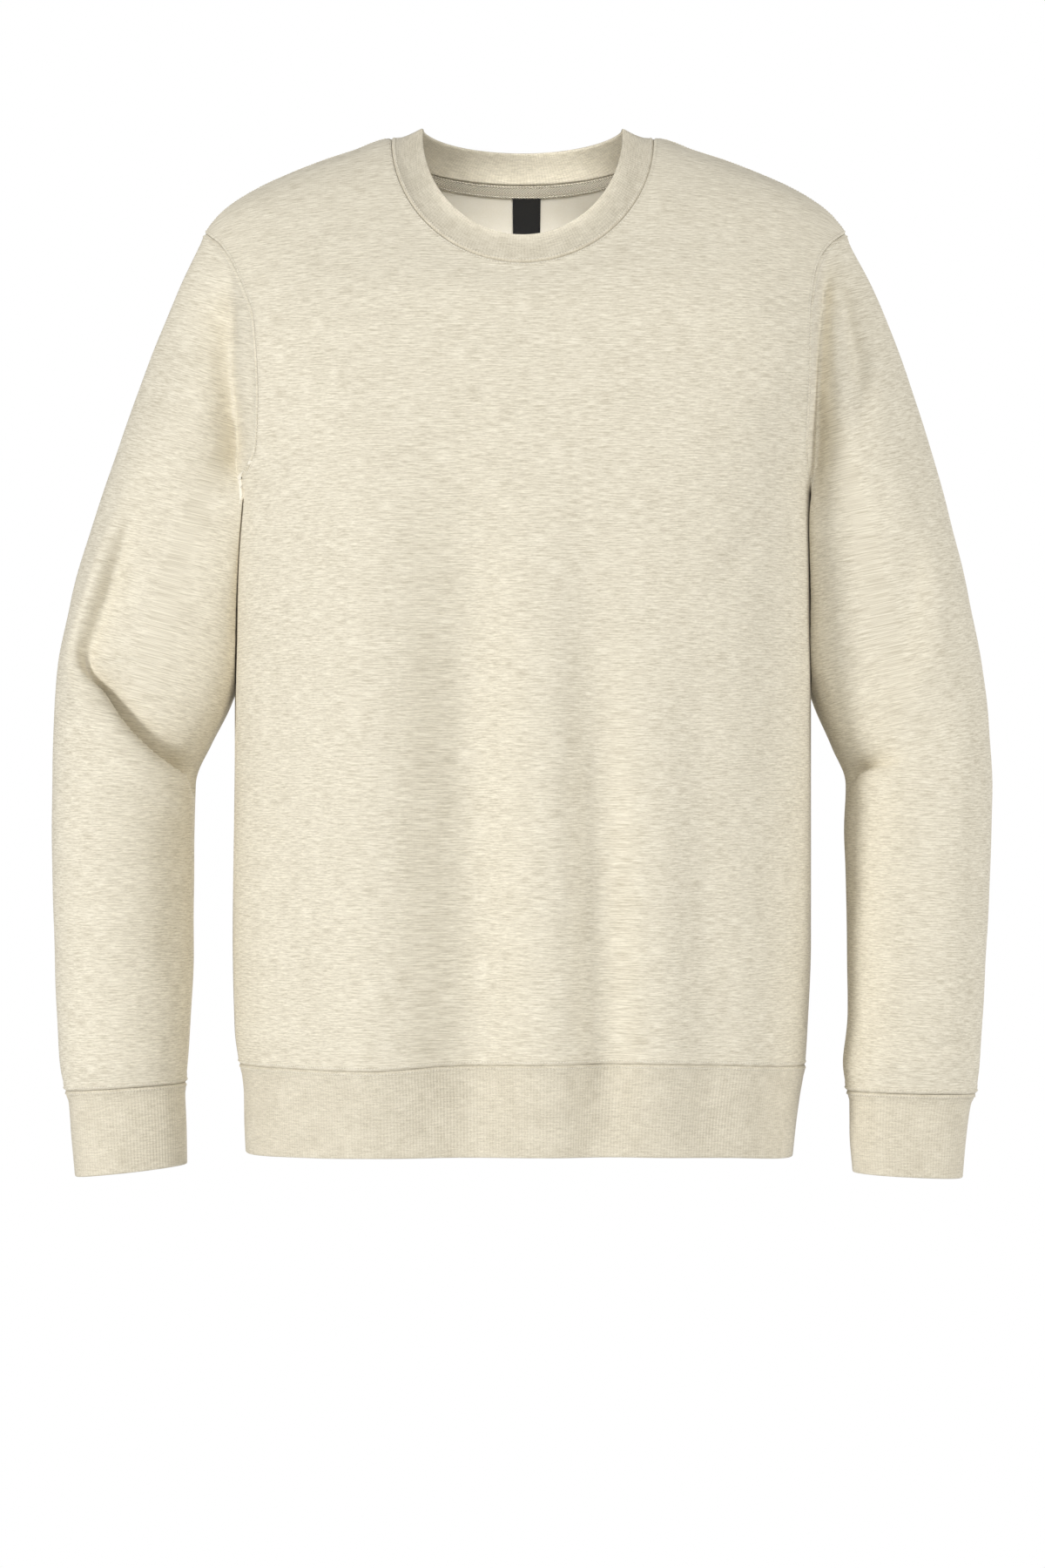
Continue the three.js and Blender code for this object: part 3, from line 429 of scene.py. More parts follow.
def foldedRib(name, outer, inner, away, materials, far):
    # rib folded double: outer rows from the seam to the fold, round it, and back up the inside
    turns = np.radians([20, 45, 70, 90, 110, 135, 160])
    middle, reach = (outer[-1] + inner[-1]) / 2, (outer[-1] - inner[-1]) / 2
    radius = np.linalg.norm(reach, axis=-1, keepdims=True)
    around = [middle + reach * math.cos(turn) + away * radius * math.sin(turn) for turn in turns]
    grid = np.concatenate([outer, np.stack(around), inner[::-1]])
    high, wide = grid.shape[:2]
    i, j = (a.ravel() for a in np.meshgrid(np.arange(high), np.arange(wide), indexing="ij"))
    corners = [(i, j), (i, j + 1), (i + 1, j + 1), (i + 1, j)]
    faces = np.stack([(r % high) * wide + c % wide for r, c in corners], axis=1)
    # the ribs run straight down, so a point's place along the band is that of its seam point
    uvGrid = arcLengths(np.concatenate([grid, grid[:1]]), True)
    uvGrid[..., 0] = uvGrid[0, :, 0][None, :]
    uvs = np.stack([uvGrid[r, c] for r, c in corners], axis=1)
    vertices = grid.reshape(-1, 3)
    if isInsideOut(vertices, faces):
        faces, uvs = faces[:, ::-1], uvs[:, ::-1]
    farAll = np.concatenate([far, np.full((len(grid) - len(far), wide), noSeam)])
    attributes = {"seamFar": farAll.ravel() * mm, "seamAlong": uvGrid[:-1, :-1, 0].ravel() * mm}
    return newMesh(name, vertices, faces, uvs, materials, np.zeros(len(faces)), attributes)


# Finishes

finish = dict(
    fleeceDark=(199, 190, 169), fleeceLight=(242, 235, 216),
    ribDark=(192, 183, 162), ribLight=(236, 228, 208),
    # the inside fleece is paler than the outside, and is made paler still as painted light on the shaded inside of the
    # neck
    insideDark=(244, 237, 219), insideLight=(252, 247, 234),
    tapeDark=(158, 149, 127), tapeLight=(246, 239, 222),
    thread=(244, 238, 222), labelBlack=(19, 19, 20), labelThread=(33, 33, 34),
)


def linear(name):
    parts = [channel / 255 for channel in finish[name]]
    return (*[c / 12.92 if c <= 0.04045 else ((c + 0.055) / 1.055) ** 2.4 for c in parts], 1)


class Finish:
    # a short hand for making a material's nodes
    def __init__(self, name, roughness, sheen, specular):
        self.material = bpy.data.materials.new(name)
        self.material.use_nodes = True
        self.nodes = self.material.node_tree.nodes
        self.links = self.material.node_tree.links
        self.surface = self.nodes["Principled BSDF"]
        self.surface.inputs["Roughness"].default_value = roughness
        self.surface.inputs["Sheen Weight"].default_value = sheen
        self.surface.inputs["Sheen Roughness"].default_value = 0.45
        self.surface.inputs["Specular IOR Level"].default_value = specular
        uvNode = self.nodes.new("ShaderNodeUVMap")
        uvNode.uv_map = "cloth"
        self.uv = uvNode.outputs["UV"]

    def put(self, socket, value):
        if isinstance(value, bpy.types.NodeSocket):
            self.links.new(value, socket)
        else:
            socket.default_value = value

    def noise(self, perMetre, detail=2.0, roughness=0.55, distortion=0.0):
        mapping = self.nodes.new("ShaderNodeMapping")
        self.put(mapping.inputs["Vector"], self.uv)
        mapping.inputs["Scale"].default_value = (*perMetre, 1)
        node = self.nodes.new("ShaderNodeTexNoise")
        self.put(node.inputs["Vector"], mapping.outputs["Vector"])
        node.inputs["Scale"].default_value = 1.0
        node.inputs["Detail"].default_value = detail
        node.inputs["Roughness"].default_value = roughness
        node.inputs["Distortion"].default_value = distortion
        return node.outputs["Fac"]

    def sum(self, kind, *values):
        node = self.nodes.new("ShaderNodeMath")
        node.operation = kind
        for socket, value in zip(node.inputs, values):
            self.put(socket, value)
        return node.outputs["Value"]

    def weighted(self, *pairs):
        # the sum of values, each times its own weight
        first, *others = [self.sum("MULTIPLY", value, weight) for value, weight in pairs]
        for term in others:
            first = self.sum("ADD", first, term)
        return first

    def waves(self, value, long):
        return self.sum("SINE", self.sum("MULTIPLY", value, 2 * math.pi / long))

    def ramp(self, value, low, high, toLow=0.0, toHigh=1.0):
        node = self.nodes.new("ShaderNodeMapRange")
        for key, number in (("From Min", low), ("From Max", high), ("To Min", toLow), ("To Max", toHigh)):
            node.inputs[key].default_value = number
        self.put(node.inputs["Value"], value)
        return node.outputs["Result"]

    def blend(self, share, dark, light):
        node = self.nodes.new("ShaderNodeMix")
        node.data_type = "RGBA"
        self.put(node.inputs[0], share)
        self.put(node.inputs[6], dark)
        self.put(node.inputs[7], light)
        return node.outputs[2]

    def attribute(self, name):
        node = self.nodes.new("ShaderNodeAttribute")
        node.attribute_name = name
        return node.outputs["Fac"]

    def axis(self, name):
        node = self.nodes.new("ShaderNodeSeparateXYZ")
        self.put(node.inputs["Vector"], self.uv)
        return node.outputs[name]

    def colour(self, value):
        self.put(self.surface.inputs["Base Color"], value)

    def sewnColourWithPaintedShade(self, colour):
        # painted shade: dark stitch holes in a row beside each seam, and painted shade in the seam groove itself;
        # gives the row back
        far, along = self.attribute("seamFar"), self.attribute("seamAlong")
        row = self.ramp(self.sum("ABSOLUTE", self.sum("SUBTRACT", far, 0.0026)), 0.0, 0.0008, 1, 0)
        paintedHoleShade = self.sum("MULTIPLY", row, self.ramp(self.waves(along, 0.0021), -0.2, 0.6, 1, 0))
        # painted shade: the seam groove and the stitch holes are darkened towards the near-black colour below
        shade = self.sum("SUBTRACT", self.ramp(far, 0, 0.0008, 0.8, 1), self.sum("MULTIPLY", paintedHoleShade, 0.12))
        self.colour(self.blend(shade, (0.10, 0.09, 0.07, 1), colour))
        return row

    def bump(self, height, strength, distance):
        node = self.nodes.new("ShaderNodeBump")
        node.inputs["Strength"].default_value = strength
        node.inputs["Distance"].default_value = distance
        self.put(node.inputs["Height"], height)
        self.put(self.surface.inputs["Normal"], node.outputs["Normal"])


def heatherFleece(name, dark, light):
    cloth = Finish(name, roughness=0.93, sheen=0.15, specular=0.15)
    streaks = cloth.noise((85, 1050), detail=3, roughness=0.6, distortion=0.08)
    flecks = cloth.noise((260, 1900), detail=2, roughness=0.7)
    patches = cloth.noise((26, 70), detail=2)
    share = cloth.weighted((streaks, 0.58), (flecks, 0.33), (patches, 0.09))
    row = cloth.sewnColourWithPaintedShade(cloth.blend(cloth.ramp(share, 0.375, 0.615), linear(dark), linear(light)))
    wales = cloth.waves(cloth.axis("X"), 0.0013)
    cloth.bump(cloth.weighted((streaks, 0.8), (flecks, 0.7), (wales, 0.06), (row, -0.5)), 0.35, 0.0005)
    return cloth.material


def fineRib(name, dark, light):
    cloth = Finish(name, roughness=0.93, sheen=0.22, specular=0.15)
    streaks = cloth.noise((130, 900), detail=3, roughness=0.6, distortion=0.1)
    flecks = cloth.noise((900, 1300), detail=2, roughness=0.7)
    patches = cloth.noise((40, 70), detail=2)
    ribs = cloth.waves(cloth.axis("X"), 0.0024)
    share = cloth.weighted((streaks, 0.45), (patches, 0.15), (flecks, 0.40), (ribs, 0.022))
    row = cloth.sewnColourWithPaintedShade(cloth.blend(cloth.ramp(share, 0.36, 0.64), linear(dark), linear(light)))
    cloth.bump(cloth.weighted((ribs, 0.35), (flecks, 0.5), (row, -0.5)), 0.35, 0.0005)
    return cloth.material


def brushedInside(name, dark, light):
    cloth = Finish(name, roughness=0.97, sheen=0.4, specular=0.1)
    fuzz = cloth.noise((700, 700), detail=3, roughness=0.7)
    patches = cloth.noise((45, 45), detail=2)
    share = cloth.weighted((fuzz, 0.5), (patches, 0.5))
    # its colours hold painted light: lifted above the fleece's own paleness where the inside lies in shade
    cloth.colour(cloth.blend(cloth.ramp(share, 0.3, 0.7), linear(dark), linear(light)))
    cloth.bump(fuzz, 0.3, 0.0006)
    return cloth.material


def herringboneTape(name, dark, light):
    cloth = Finish(name, roughness=0.9, sheen=0.15, specular=0.2)
    # slanted ribs that turn back in each band across the tape
    bandWide, ribWide = 0.0058, 0.0021
    across = cloth.sum("PINGPONG", cloth.axis("Y"), bandWide)
    ribs = cloth.waves(cloth.weighted((cloth.axis("X"), 1), (across, 1.1)), ribWide)
    flecks = cloth.noise((600, 600), detail=2)
    share = cloth.weighted((cloth.ramp(ribs, -1, 1, 0.1, 0.75), 1), (flecks, 0.3))
    cloth.colour(cloth.blend(share, linear(dark), linear(light)))
    cloth.bump(ribs, 0.5, 0.0004)
    return cloth.material


def wovenLabel(name, dark, light):
    cloth = Finish(name, roughness=0.62, sheen=0.1, specular=0.35)
    weave = cloth.sum("MULTIPLY", cloth.waves(cloth.axis("X"), 0.0009), cloth.waves(cloth.axis("Y"), 0.0007))
    flecks = cloth.noise((500, 500), detail=2)
    share = cloth.weighted((cloth.ramp(weave, -1, 1, 0, 0.5), 1), (flecks, 0.4))
    cloth.colour(cloth.blend(share, linear(dark), linear(light)))
    cloth.bump(weave, 0.3, 0.0002)
    return cloth.material


def twistedThread(name, colour):
    cloth = Finish(name, roughness=0.7, sheen=0.1, specular=0.3)
    coordinates = cloth.nodes.new("ShaderNodeTexCoord")
    noise = cloth.nodes.new("ShaderNodeTexNoise")
    cloth.put(noise.inputs["Vector"], coordinates.outputs["Object"])
    noise.inputs["Scale"].default_value = 2500
    light = linear(colour)
    dark = (*[0.82 * c for c in light[:3]], 1)
    cloth.colour(cloth.blend(noise.outputs["Fac"], dark, light))
    cloth.bump(noise.outputs["Fac"], 0.3, 0.0002)
    return cloth.material


fleeceCloth = heatherFleece("heatherFleece", "fleeceDark", "fleeceLight")
ribCloth = fineRib("fineRib", "ribDark", "ribLight")
insideCloth = brushedInside("brushedInside", "insideDark", "insideLight")
tapeCloth = herringboneTape("herringboneTape", "tapeDark", "tapeLight")
labelCloth = wovenLabel("wovenLabel", "labelBlack", "labelThread")
creamThread = twistedThread("creamThread", "thread")
blackThread = twistedThread("blackThread", "labelThread")
print("finishes made")


# Front and back panels

panel = dict(
    columnStep=0.25,  # of a grid column, a twelfth of the neck
    lowerSteps=92, upperSteps=52,
    edgeSteps=(0.35, 0.8, 1.5, 2.6, 4.2),  # extra lines this far from a seam
    widthOfHalf=290, heightOfLower=400, heightOfUpper=190,
    hook=0.06,  # half the seam's opening
    unevenHigh=0.3, seed=7,
    foldsFrom=14,  # creases and unevenness fade in this far from a seam
    sideSpread=0.62, topSpread=0.52,  # how much longer the cloth is than its front view
    flatApart=900,  # between the two panels' flat cloth
)


def crowdedShares(count, length, first, last):
    # evenly spread shares from 0 to 1 with extra ones near either end
    extra = np.array(panel["edgeSteps"]) / length
    shares = list(np.linspace(0, 1, count + 1))
    bare = 5.5 / length  # the extra ones stand alone here
    shares = [s for s in shares if not (first and 0 < s < bare) and not (last and 1 > s > 1 - bare)]
    if first:
        shares += list(extra)
    if last:
        shares += list(1 - extra)
    return np.array(sorted(shares))


half = body["halfColumns"]
outward = crowdedShares(int(half / panel["columnStep"]), panel["widthOfHalf"], False, True) * half
# the neck corner is one of the columns, and has one close by on either side
besideCorner = body["neckColumns"] + np.array([-0.07, 0.07])
outward = np.unique(np.concatenate([outward, besideCorner]).round(6))
panelColumns = np.concatenate([-outward[:0:-1], outward])
lowerShares = crowdedShares(panel["lowerSteps"], panel["heightOfLower"], True, False)
upperShares = crowdedShares(panel["upperSteps"], panel["heightOfUpper"], False, True)[1:]


def panelGrid(side):
    column, lower = np.meshgrid(panelColumns, lowerShares)
    bottom = lowerPoint(side, column, lower)
    column, upper = np.meshgrid(panelColumns, upperShares)
    grid = np.concatenate([bottom, upperPoint(side, column, upper)])
    edges = grid[:, [0, -1], 1]
    grid[:, [0, -1], 1] = np.where(np.abs(edges) < 0.5, side * panel["hook"], edges)
    onShoulder = np.abs(panelColumns) >= body["neckColumns"] - 1e-6
    grid[-1, onShoulder, 1] = side * panel["hook"]
    return grid


def creaseDepth(side, grid):
    total = np.zeros(grid.shape[:2])
    for crease in body["creases"]:
        if crease["side"] != side:
            continue
        far, share, _ = foldAt(crease["line"], grid[..., 0], grid[..., 2])
        fading = ease(share / 0.35) * ease((1 - share) / 0.35)
        total += crease["deep"] * fading * np.exp(-(far / crease["reach"]) ** 2)
    return total


panels = {}
for side, name in ((-1, "front_panel"), (1, "back_panel")):
    grid = panelGrid(side)
    normals = normalsOf(grid, False) * -side
    if (normals[len(grid) // 2, grid.shape[1] // 2] * (0, side, 0)).sum() < 0:
        normals = -normals
    far, along = distanceTo(grid, [grid[0], grid[-1], grid[:, 0], grid[:, -1]])
    uneven = unevenness(grid, panel["seed"] + side, panel["unevenHigh"])
    rise = seamRise(far) + (uneven - creaseDepth(side, grid)) * ease(far / panel["foldsFrom"])
    outer = grid + normals * rise[..., None]
    panels[side] = dict(name=name, grid=grid, normals=normals, outer=outer, far=far, along=along)
print("panels shaped")


# The neck seam all round, from the wearer's right over the front and back again

neckband = dict(
    edgeHalf=73, edgeTop=7.4, frontY=-71, frontZ=-75.5, frontPower=1, backY=58, backZ=-4.5, backPower=1.4,
    bowShoulder=-1.4, bowMiddle=1.2, thick=2.8, gap=0.12, steps=14, high=22, unevenHigh=0.12, seed=21,
)


def ringOf(columnsHere):
    # a ring round the body: over the front from the wearer's right, and back again
    sides = np.concatenate([np.full(len(columnsHere) - 1, -1), np.full(len(columnsHere) - 1, 1)])
    return sides, np.concatenate([columnsHere[:-1], columnsHere[:0:-1]])


isNeck = np.abs(panelColumns) <= body["neckColumns"] + 1e-6
neckColumns = panelColumns[isNeck]
ringSides, ringColumns = ringOf(neckColumns)
atCorner = np.abs(np.abs(ringColumns) - body["neckColumns"]) < 1e-6
seamX, seamZ = np.where(ringSides < 0, topEdge(-1, ringColumns), topEdge(1, ringColumns))
neckSeam = np.where((ringSides < 0)[:, None], bodyPoint(-1, seamX, seamZ), bodyPoint(1, seamX, seamZ))
neckSeam[atCorner, 1] = 0
toMiddle = np.cos(neckAngle(ringColumns))
neckEdge = points(
    np.sign(ringColumns) * neckband["edgeHalf"] * np.sin(neckAngle(ringColumns)),
    np.where(ringSides < 0, neckband["frontY"], neckband["backY"]) * toMiddle,
    mix(neckband["edgeTop"], np.where(ringSides < 0, neckband["frontZ"], neckband["backZ"]),
        toMiddle ** np.where(ringSides < 0, neckband["frontPower"], neckband["backPower"])))
neckTangents = unit(np.roll(neckSeam, -1, axis=0) - np.roll(neckSeam, 1, axis=0))
bandNormals = unit(np.cross(neckTangents, neckEdge - neckSeam))
topNormals = {side: dict(zip(panelColumns.round(4), panels[side]["normals"][-1])) for side in (-1, 1)}
bodyNormals = np.array([topNormals[s][round(c, 4)] for s, c in zip(ringSides, ringColumns)])
for k in np.flatnonzero(atCorner):
    both = topNormals[-1][round(ringColumns[k], 4)] + topNormals[1][round(ringColumns[k], 4)]
    bodyNormals[k] = both / np.linalg.norm(both)
neckInwards = -(bandNormals + bodyNormals)
neckInwards[atCorner, 1] = 0
neckInwards = unit(neckInwards)


def neckInwardAt(side):
    # the same direction for a panel's columns at the neck
    found = {}
    for k, (s, c) in enumerate(zip(ringSides, ringColumns)):
        if s == side or atCorner[k]:
            found[round(c, 4)] = neckInwards[k]
    return np.array([found[round(c, 4)] for c in neckColumns])


def insetOf(side):
    # from a panel's outer face to its inner one
    piece = panels[side]
    inward = -piece["normals"].copy()
    grid = piece["grid"]
    lower = len(lowerShares)
    inward[0, :, 2] = 0
    for column, hand in ((0, np.sign(grid[0, 0, 0])), (-1, np.sign(grid[0, -1, 0]))):
        inward[:lower, column] = (-hand, 0, 0)
        p = grid[lower:, column]
        middle = mix(body["underarmZ"], body["tipZ"], 0.5)
        folded = 1.2 * ease(1 - 3 * upperShares)
        toMiddle = unit(points(0 * p[:, 0], -p[:, 1], middle - p[:, 2]))
        inward[lower:, column] = toMiddle + folded[:, None] * np.array([-hand, 0, 0])
    onShoulder = np.abs(panelColumns) > body["neckColumns"]
    x = grid[-1, onShoulder, 0]
    inward[-1, onShoulder] = points((shoulderZ(x + 2) - shoulderZ(x - 2)) / 4, 0, -1)
    inward[-1, isNeck] = neckInwardAt(side)
    return unit(inward) * body["thick"]


def placeOnPanel(side, grid):
    # where each point lay in the flat cloth, whose courses run level across the panel
    x, y, z = np.moveaxis(grid, -1, 0)
    depth = fullDepth(side, x, z)
    full = bodyCurve["front" if side < 0 else "back"](z)
    across = x + np.sign(x) * panel["sideSpread"] * np.maximum(0, depth - np.abs(y))
    return np.stack([across + panel["flatApart"] * side, z + panel["topSpread"] * (full - depth)], axis=-1)


for side in (-1, 1):
    piece = panels[side]
    piece["inset"] = insetOf(side)
    piece["inner"] = piece["outer"] + piece["inset"]
    piece["object"] = clothWall(piece["name"] + "_cloth", piece["outer"], piece["inner"], False,
                                [fleeceCloth, insideCloth], piece["far"], piece["along"],
                                placeOnPanel(side, piece["grid"]))
print("panels made")


# Neckband

def ribShares(band, extraRows):
    # evenly spread rows of a rib, with extra ones near its seam
    return sorted([*np.linspace(0, 1, band["steps"] + 1), *[d / band["high"] for d in panel["edgeSteps"][:extraRows]]])


def neckbandRows():
    rising = neckEdge - neckSeam
    gap = unit(np.cross(neckTangents, neckInwards))
    gap *= np.sign((gap * rising).sum(axis=1, keepdims=True)) * neckband["gap"]
    bow = mix(neckband["bowShoulder"], neckband["bowMiddle"], toMiddle)
    return np.stack([mix(neckSeam + gap, neckEdge, t) - neckInwards * (bow * math.sin(math.pi * t))[:, None]
                     for t in ribShares(neckband, 4)])


neckGrid = neckbandRows()
neckNormals = normalsOf(neckGrid, True)
neckNormals *= np.sign((neckNormals[3] * -neckInwards).sum())
neckNormals[0] = -neckInwards
neckFar, _ = distanceTo(neckGrid, [(neckSeam, True)])
neckRise = seamRise(neckFar) + unevenness(neckGrid, neckband["seed"], neckband["unevenHigh"])
neckOuter = neckGrid + neckNormals * neckRise[..., None]
neckInner = neckGrid - neckNormals * neckband["thick"]
neckAway = unit(neckGrid[-1] - neckGrid[-2])
neckbandPiece = foldedRib("neckband_rib", neckOuter, neckInner, neckAway, [ribCloth], neckFar)


# Waistband

waistband = dict(thick=2.8, gap=0.1, steps=24, high=64, unevenHigh=0.2, seed=33)
waistSides, waistColumns = ringOf(panelColumns)
waistRows = []
for share in ribShares(waistband, 3):
    ends = mix(-waistband["gap"], waistband["thick"] / 2, share)
    z = np.where(waistSides < 0, hemZ(-1, waistColumns, share), hemZ(1, waistColumns, share)) + ends
    x = halfWidth(waistColumns, z) * columnSpread(waistColumns)
    row = np.where((waistSides < 0)[:, None], bodyPoint(-1, x, z), bodyPoint(1, x, z))
    row[np.abs(waistColumns) == half, 1] = 0
    waistRows.append(row)
waistGrid = np.stack(waistRows)
waistNormals = normalsOf(waistGrid, True)
outwards = waistGrid * (1, 1, 0)
waistNormals *= np.sign((waistNormals * outwards).sum())
waistNormals[0, :, 2] = 0
waistNormals = unit(waistNormals)
waistFar, _ = distanceTo(waistGrid, [(waistGrid[0] + (0, 0, waistband["gap"]), True)])
waistRise = seamRise(waistFar) + unevenness(waistGrid, waistband["seed"], waistband["unevenHigh"])
waistOuter = waistGrid + waistNormals * waistRise[..., None]
waistInner = waistGrid - waistNormals * waistband["thick"]
waistAway = unit(waistGrid[-1] - waistGrid[-2])
waistbandPiece = foldedRib("waistband_rib", waistOuter, waistInner, waistAway, [ribCloth], waistFar)
print("neckband and waistband made")


# Sleeves and cuffs: sections seen from the front, then their folds

sectionNames = "outX outZ inX inZ midY fore aft"
sleeve = dict(
    squareness=2.15, besideBody=3.6, pressed=6, armholeBlend=0.3, underarmStrip=2.5, bodyClearance=0.8,
    rows=226, around=164, thick=2.0, gap=0.12, meanRadius=62, length=430, unevenHigh=0.3,
    flatApart=1900,  # from the middle to each sleeve's flat cloth
)
rightSleeve = dict(
    hand=-1, name="right_sleeve", seed=51,
    sections=rowsOf(sectionNames, [
        (227.5, -68, 205.4, -255, 4, 76, 84), (252, -118, 205.6, -278, 13, 66, 76),
        (284, -200, 205.3, -318, 20, 66, 72), (310.3, -277, 204.8, -364, 22, 64, 68),
        (326, -333, 215, -404, 20, 60, 64), (334, -377, 226.3, -434, 16, 57, 61),
        (336.8, -418, 235.2, -463, 11, 57, 58), (337.6, -465, 235.8, -498, 5, 55, 55),
        (336.3, -535, 235.2, -556, -5, 51, 51), (333.3, -620, 237, -626, -14, 45, 46),
        (329.8, -664, 239, -660, -18, 41, 42), (326.5, -681, 240.5, -675, -19, 35, 36)]),
    # a fold's reaches are those on the left and right of its line as it goes along
    folds=[
        # outer elbow, soft start
        dict(side=-1, deep=15, left=26, right=9, start=0.65, end=0.2, swell=9,
             line=[(-262, -222), (-274, -262), (-284, -285), (-292, -307),
                   (-300, -331), (-309, -354), (-315, -374), (-309, -390)]),
        # elbow tuck
        dict(side=-1, deep=24, left=20, right=2.6, start=0.35, end=0, lap=12, swell=5.5,
             line=[(-313, -352), (-316, -371), (-312, -391), (-291, -423),
                   (-270, -444), (-253, -457), (-229, -474)]),
        # beside the armhole
        dict(side=-1, deep=24, left=3.5, right=17, start=0.25, end=0.2,
             line=[(-208, -92), (-206.5, -104), (-205, -168), (-201, -200), (-198, -262)]),
        # upper arm ridge
        dict(side=-1, deep=-3.5, left=18, right=20, start=0.4, end=0.4,
             line=[(-238, -130), (-242, -200), (-246, -310)]),
        # back of the elbow
        dict(side=1, deep=9, left=6, right=20, start=0.4, end=0.2, lap=-4,
             line=[(-330, -402), (-290, -428), (-236, -470)]),
        # back of the upper arm
        dict(side=1, deep=6, left=18, right=18, start=0.4, end=0.5,
             line=[(-214, -130), (-232, -210), (-262, -300)]),
        # inner forearm
        dict(side=-1, deep=2.5, left=14, right=20, start=0.3, end=0.4,
             line=[(-240, -480), (-246, -540), (-250, -620)]),
        # small fold above the cuff
        dict(side=-1, deep=1.8, left=6, right=3, start=0.4, end=0.5,
             line=[(-322, -632), (-308, -638), (-290, -640)]),
        # inner edge ripple
        dict(side=-1, deep=1.6, left=5, right=5, start=0.3, end=0.5,
             line=[(-236, -560), (-250, -572), (-262, -590)]),
    ],
)
leftSleeve = dict(
    hand=1, name="left_sleeve", seed=52,
    sections=rowsOf(sectionNames, [
        (231.5, -68, 206, -255, 4, 64, 84), (257.5, -118, 206.2, -278, 14, 60, 80),
        (288, -200, 205.9, -318, 20, 64, 76), (310, -277, 205.4, -364, 22, 64, 68),
        (322.6, -333, 215, -404, 20, 60, 64), (331.3, -380, 225, -436, 15, 57, 60),
        (335.3, -422, 232.3, -463, 10, 56, 57), (337, -465, 231, -498, 5, 57, 55),
        (334.2, -535, 232.5, -556, -4, 54, 51), (329.5, -620, 232.5, -626, -12, 48, 46),
        (326.5, -664, 229, -662, -16, 42, 42), (324, -683, 231.6, -681, -17, 36, 36)]),
    folds=[
        # inner elbow tuck
        dict(side=-1, deep=13, left=12, right=3.2, start=0.25, end=0.6, lap=5, swell=3,
             line=[(222, -473), (234.8, -462), (244.5, -454.5), (256, -449), (274, -441)]),
        # beside the armhole
        dict(side=-1, deep=24, left=11, right=3, start=0.12, end=0.35,
             line=[(219, -84), (215.5, -100), (211, -132), (208.5, -179), (206, -235), (205, -280)]),
        # below the shoulder
        dict(side=-1, deep=12, left=12, right=9, start=0.25, end=0.5,
             line=[(226, -88), (231, -115), (237, -145), (241, -178), (240, -225)]),
        # outer arm ridge
        dict(side=-1, deep=-5, left=20, right=18, start=0.4, end=0.35,
             line=[(291, -262), (295, -300), (295, -364), (286, -388), (270, -412), (264, -446)]),
        # trough beside the ridge
        dict(side=-1, deep=4, left=10, right=22, start=0.4, end=0.5,
             line=[(279, -270), (280, -312), (277, -345), (262, -385)]),
        # back of the elbow
        dict(side=1, deep=9, left=20, right=6, start=0.2, end=0.4, lap=4,
             line=[(230, -466), (286, -436), (330, -396)]),
        # back of the upper arm
        dict(side=1, deep=6, left=18, right=18, start=0.4, end=0.5,
             line=[(216, -140), (238, -220), (256, -310)]),
        # small fold above the cuff
        dict(side=-1, deep=2, left=6, right=3, start=0.4, end=0.5,
             line=[(286, -648), (304, -650), (320, -642)]),
        # forearm wave
        dict(side=-1, deep=2.0, left=12, right=10, start=0.4, end=0.5,
             line=[(252, -520), (276, -545), (304, -548)]),
    ],
)


def tubeThrough(sections, isSleeve):
    share = np.linspace(0, 1, len(sections))
    rows = [dict(row, share=s) for row, s in zip(sections, share)]
    curves = {name: through(rows, "share", name) for name in sectionNames.split()}

    def tube(hand, share, angle):
        # the inner side lies flat against the body down to the elbow
        beside = (1 - ease((share - 0.3) / 0.25)) * (np.cos(angle) < 0) * isSleeve
        power = 2 / mix(sleeve["squareness"], sleeve["besideBody"], beside)
        outwardShare = (1 + np.sign(np.cos(angle)) * np.abs(np.cos(angle)) ** power) / 2
        forward = np.sign(np.sin(angle)) * np.abs(np.sin(angle)) ** power
        reach = np.where(forward > 0, curves["fore"](share), curves["aft"](share))
        # the inner edge reaches into the body's side here, and clearOfBody lays it back on it
        inX = curves["inX"](share) - sleeve["pressed"] * beside * ease((share - 0.05) / 0.1)
        x = mix(inX, curves["outX"](share), outwardShare)
        z = mix(curves["inZ"](share), curves["outZ"](share), outwardShare)
        return points(hand * x, curves["midY"](share) - forward * reach, z)

    return tube


def clearOfBody(p, hand, margin):
    side = np.where(p[..., 1] < 0, -1, 1)
    depth = np.where(side < 0, fullDepth(-1, p[..., 0], p[..., 2]), fullDepth(1, p[..., 0], p[..., 2]))
    across = np.abs(p[..., 0]) / (halfWidth(hand, p[..., 2]) + margin)
    deep = np.abs(p[..., 1]) / np.maximum(depth + margin, 1e-6)
    share = (across ** body["squareness"] + deep ** body["squareness"]) ** (1 / body["squareness"])
    # the body has no side above the underarm, so this fades out there
    share = mix(1, np.minimum(1, share), ease((-222 - p[..., 2]) / 30))
    return p / np.stack([share, share, np.ones_like(share)], axis=-1)


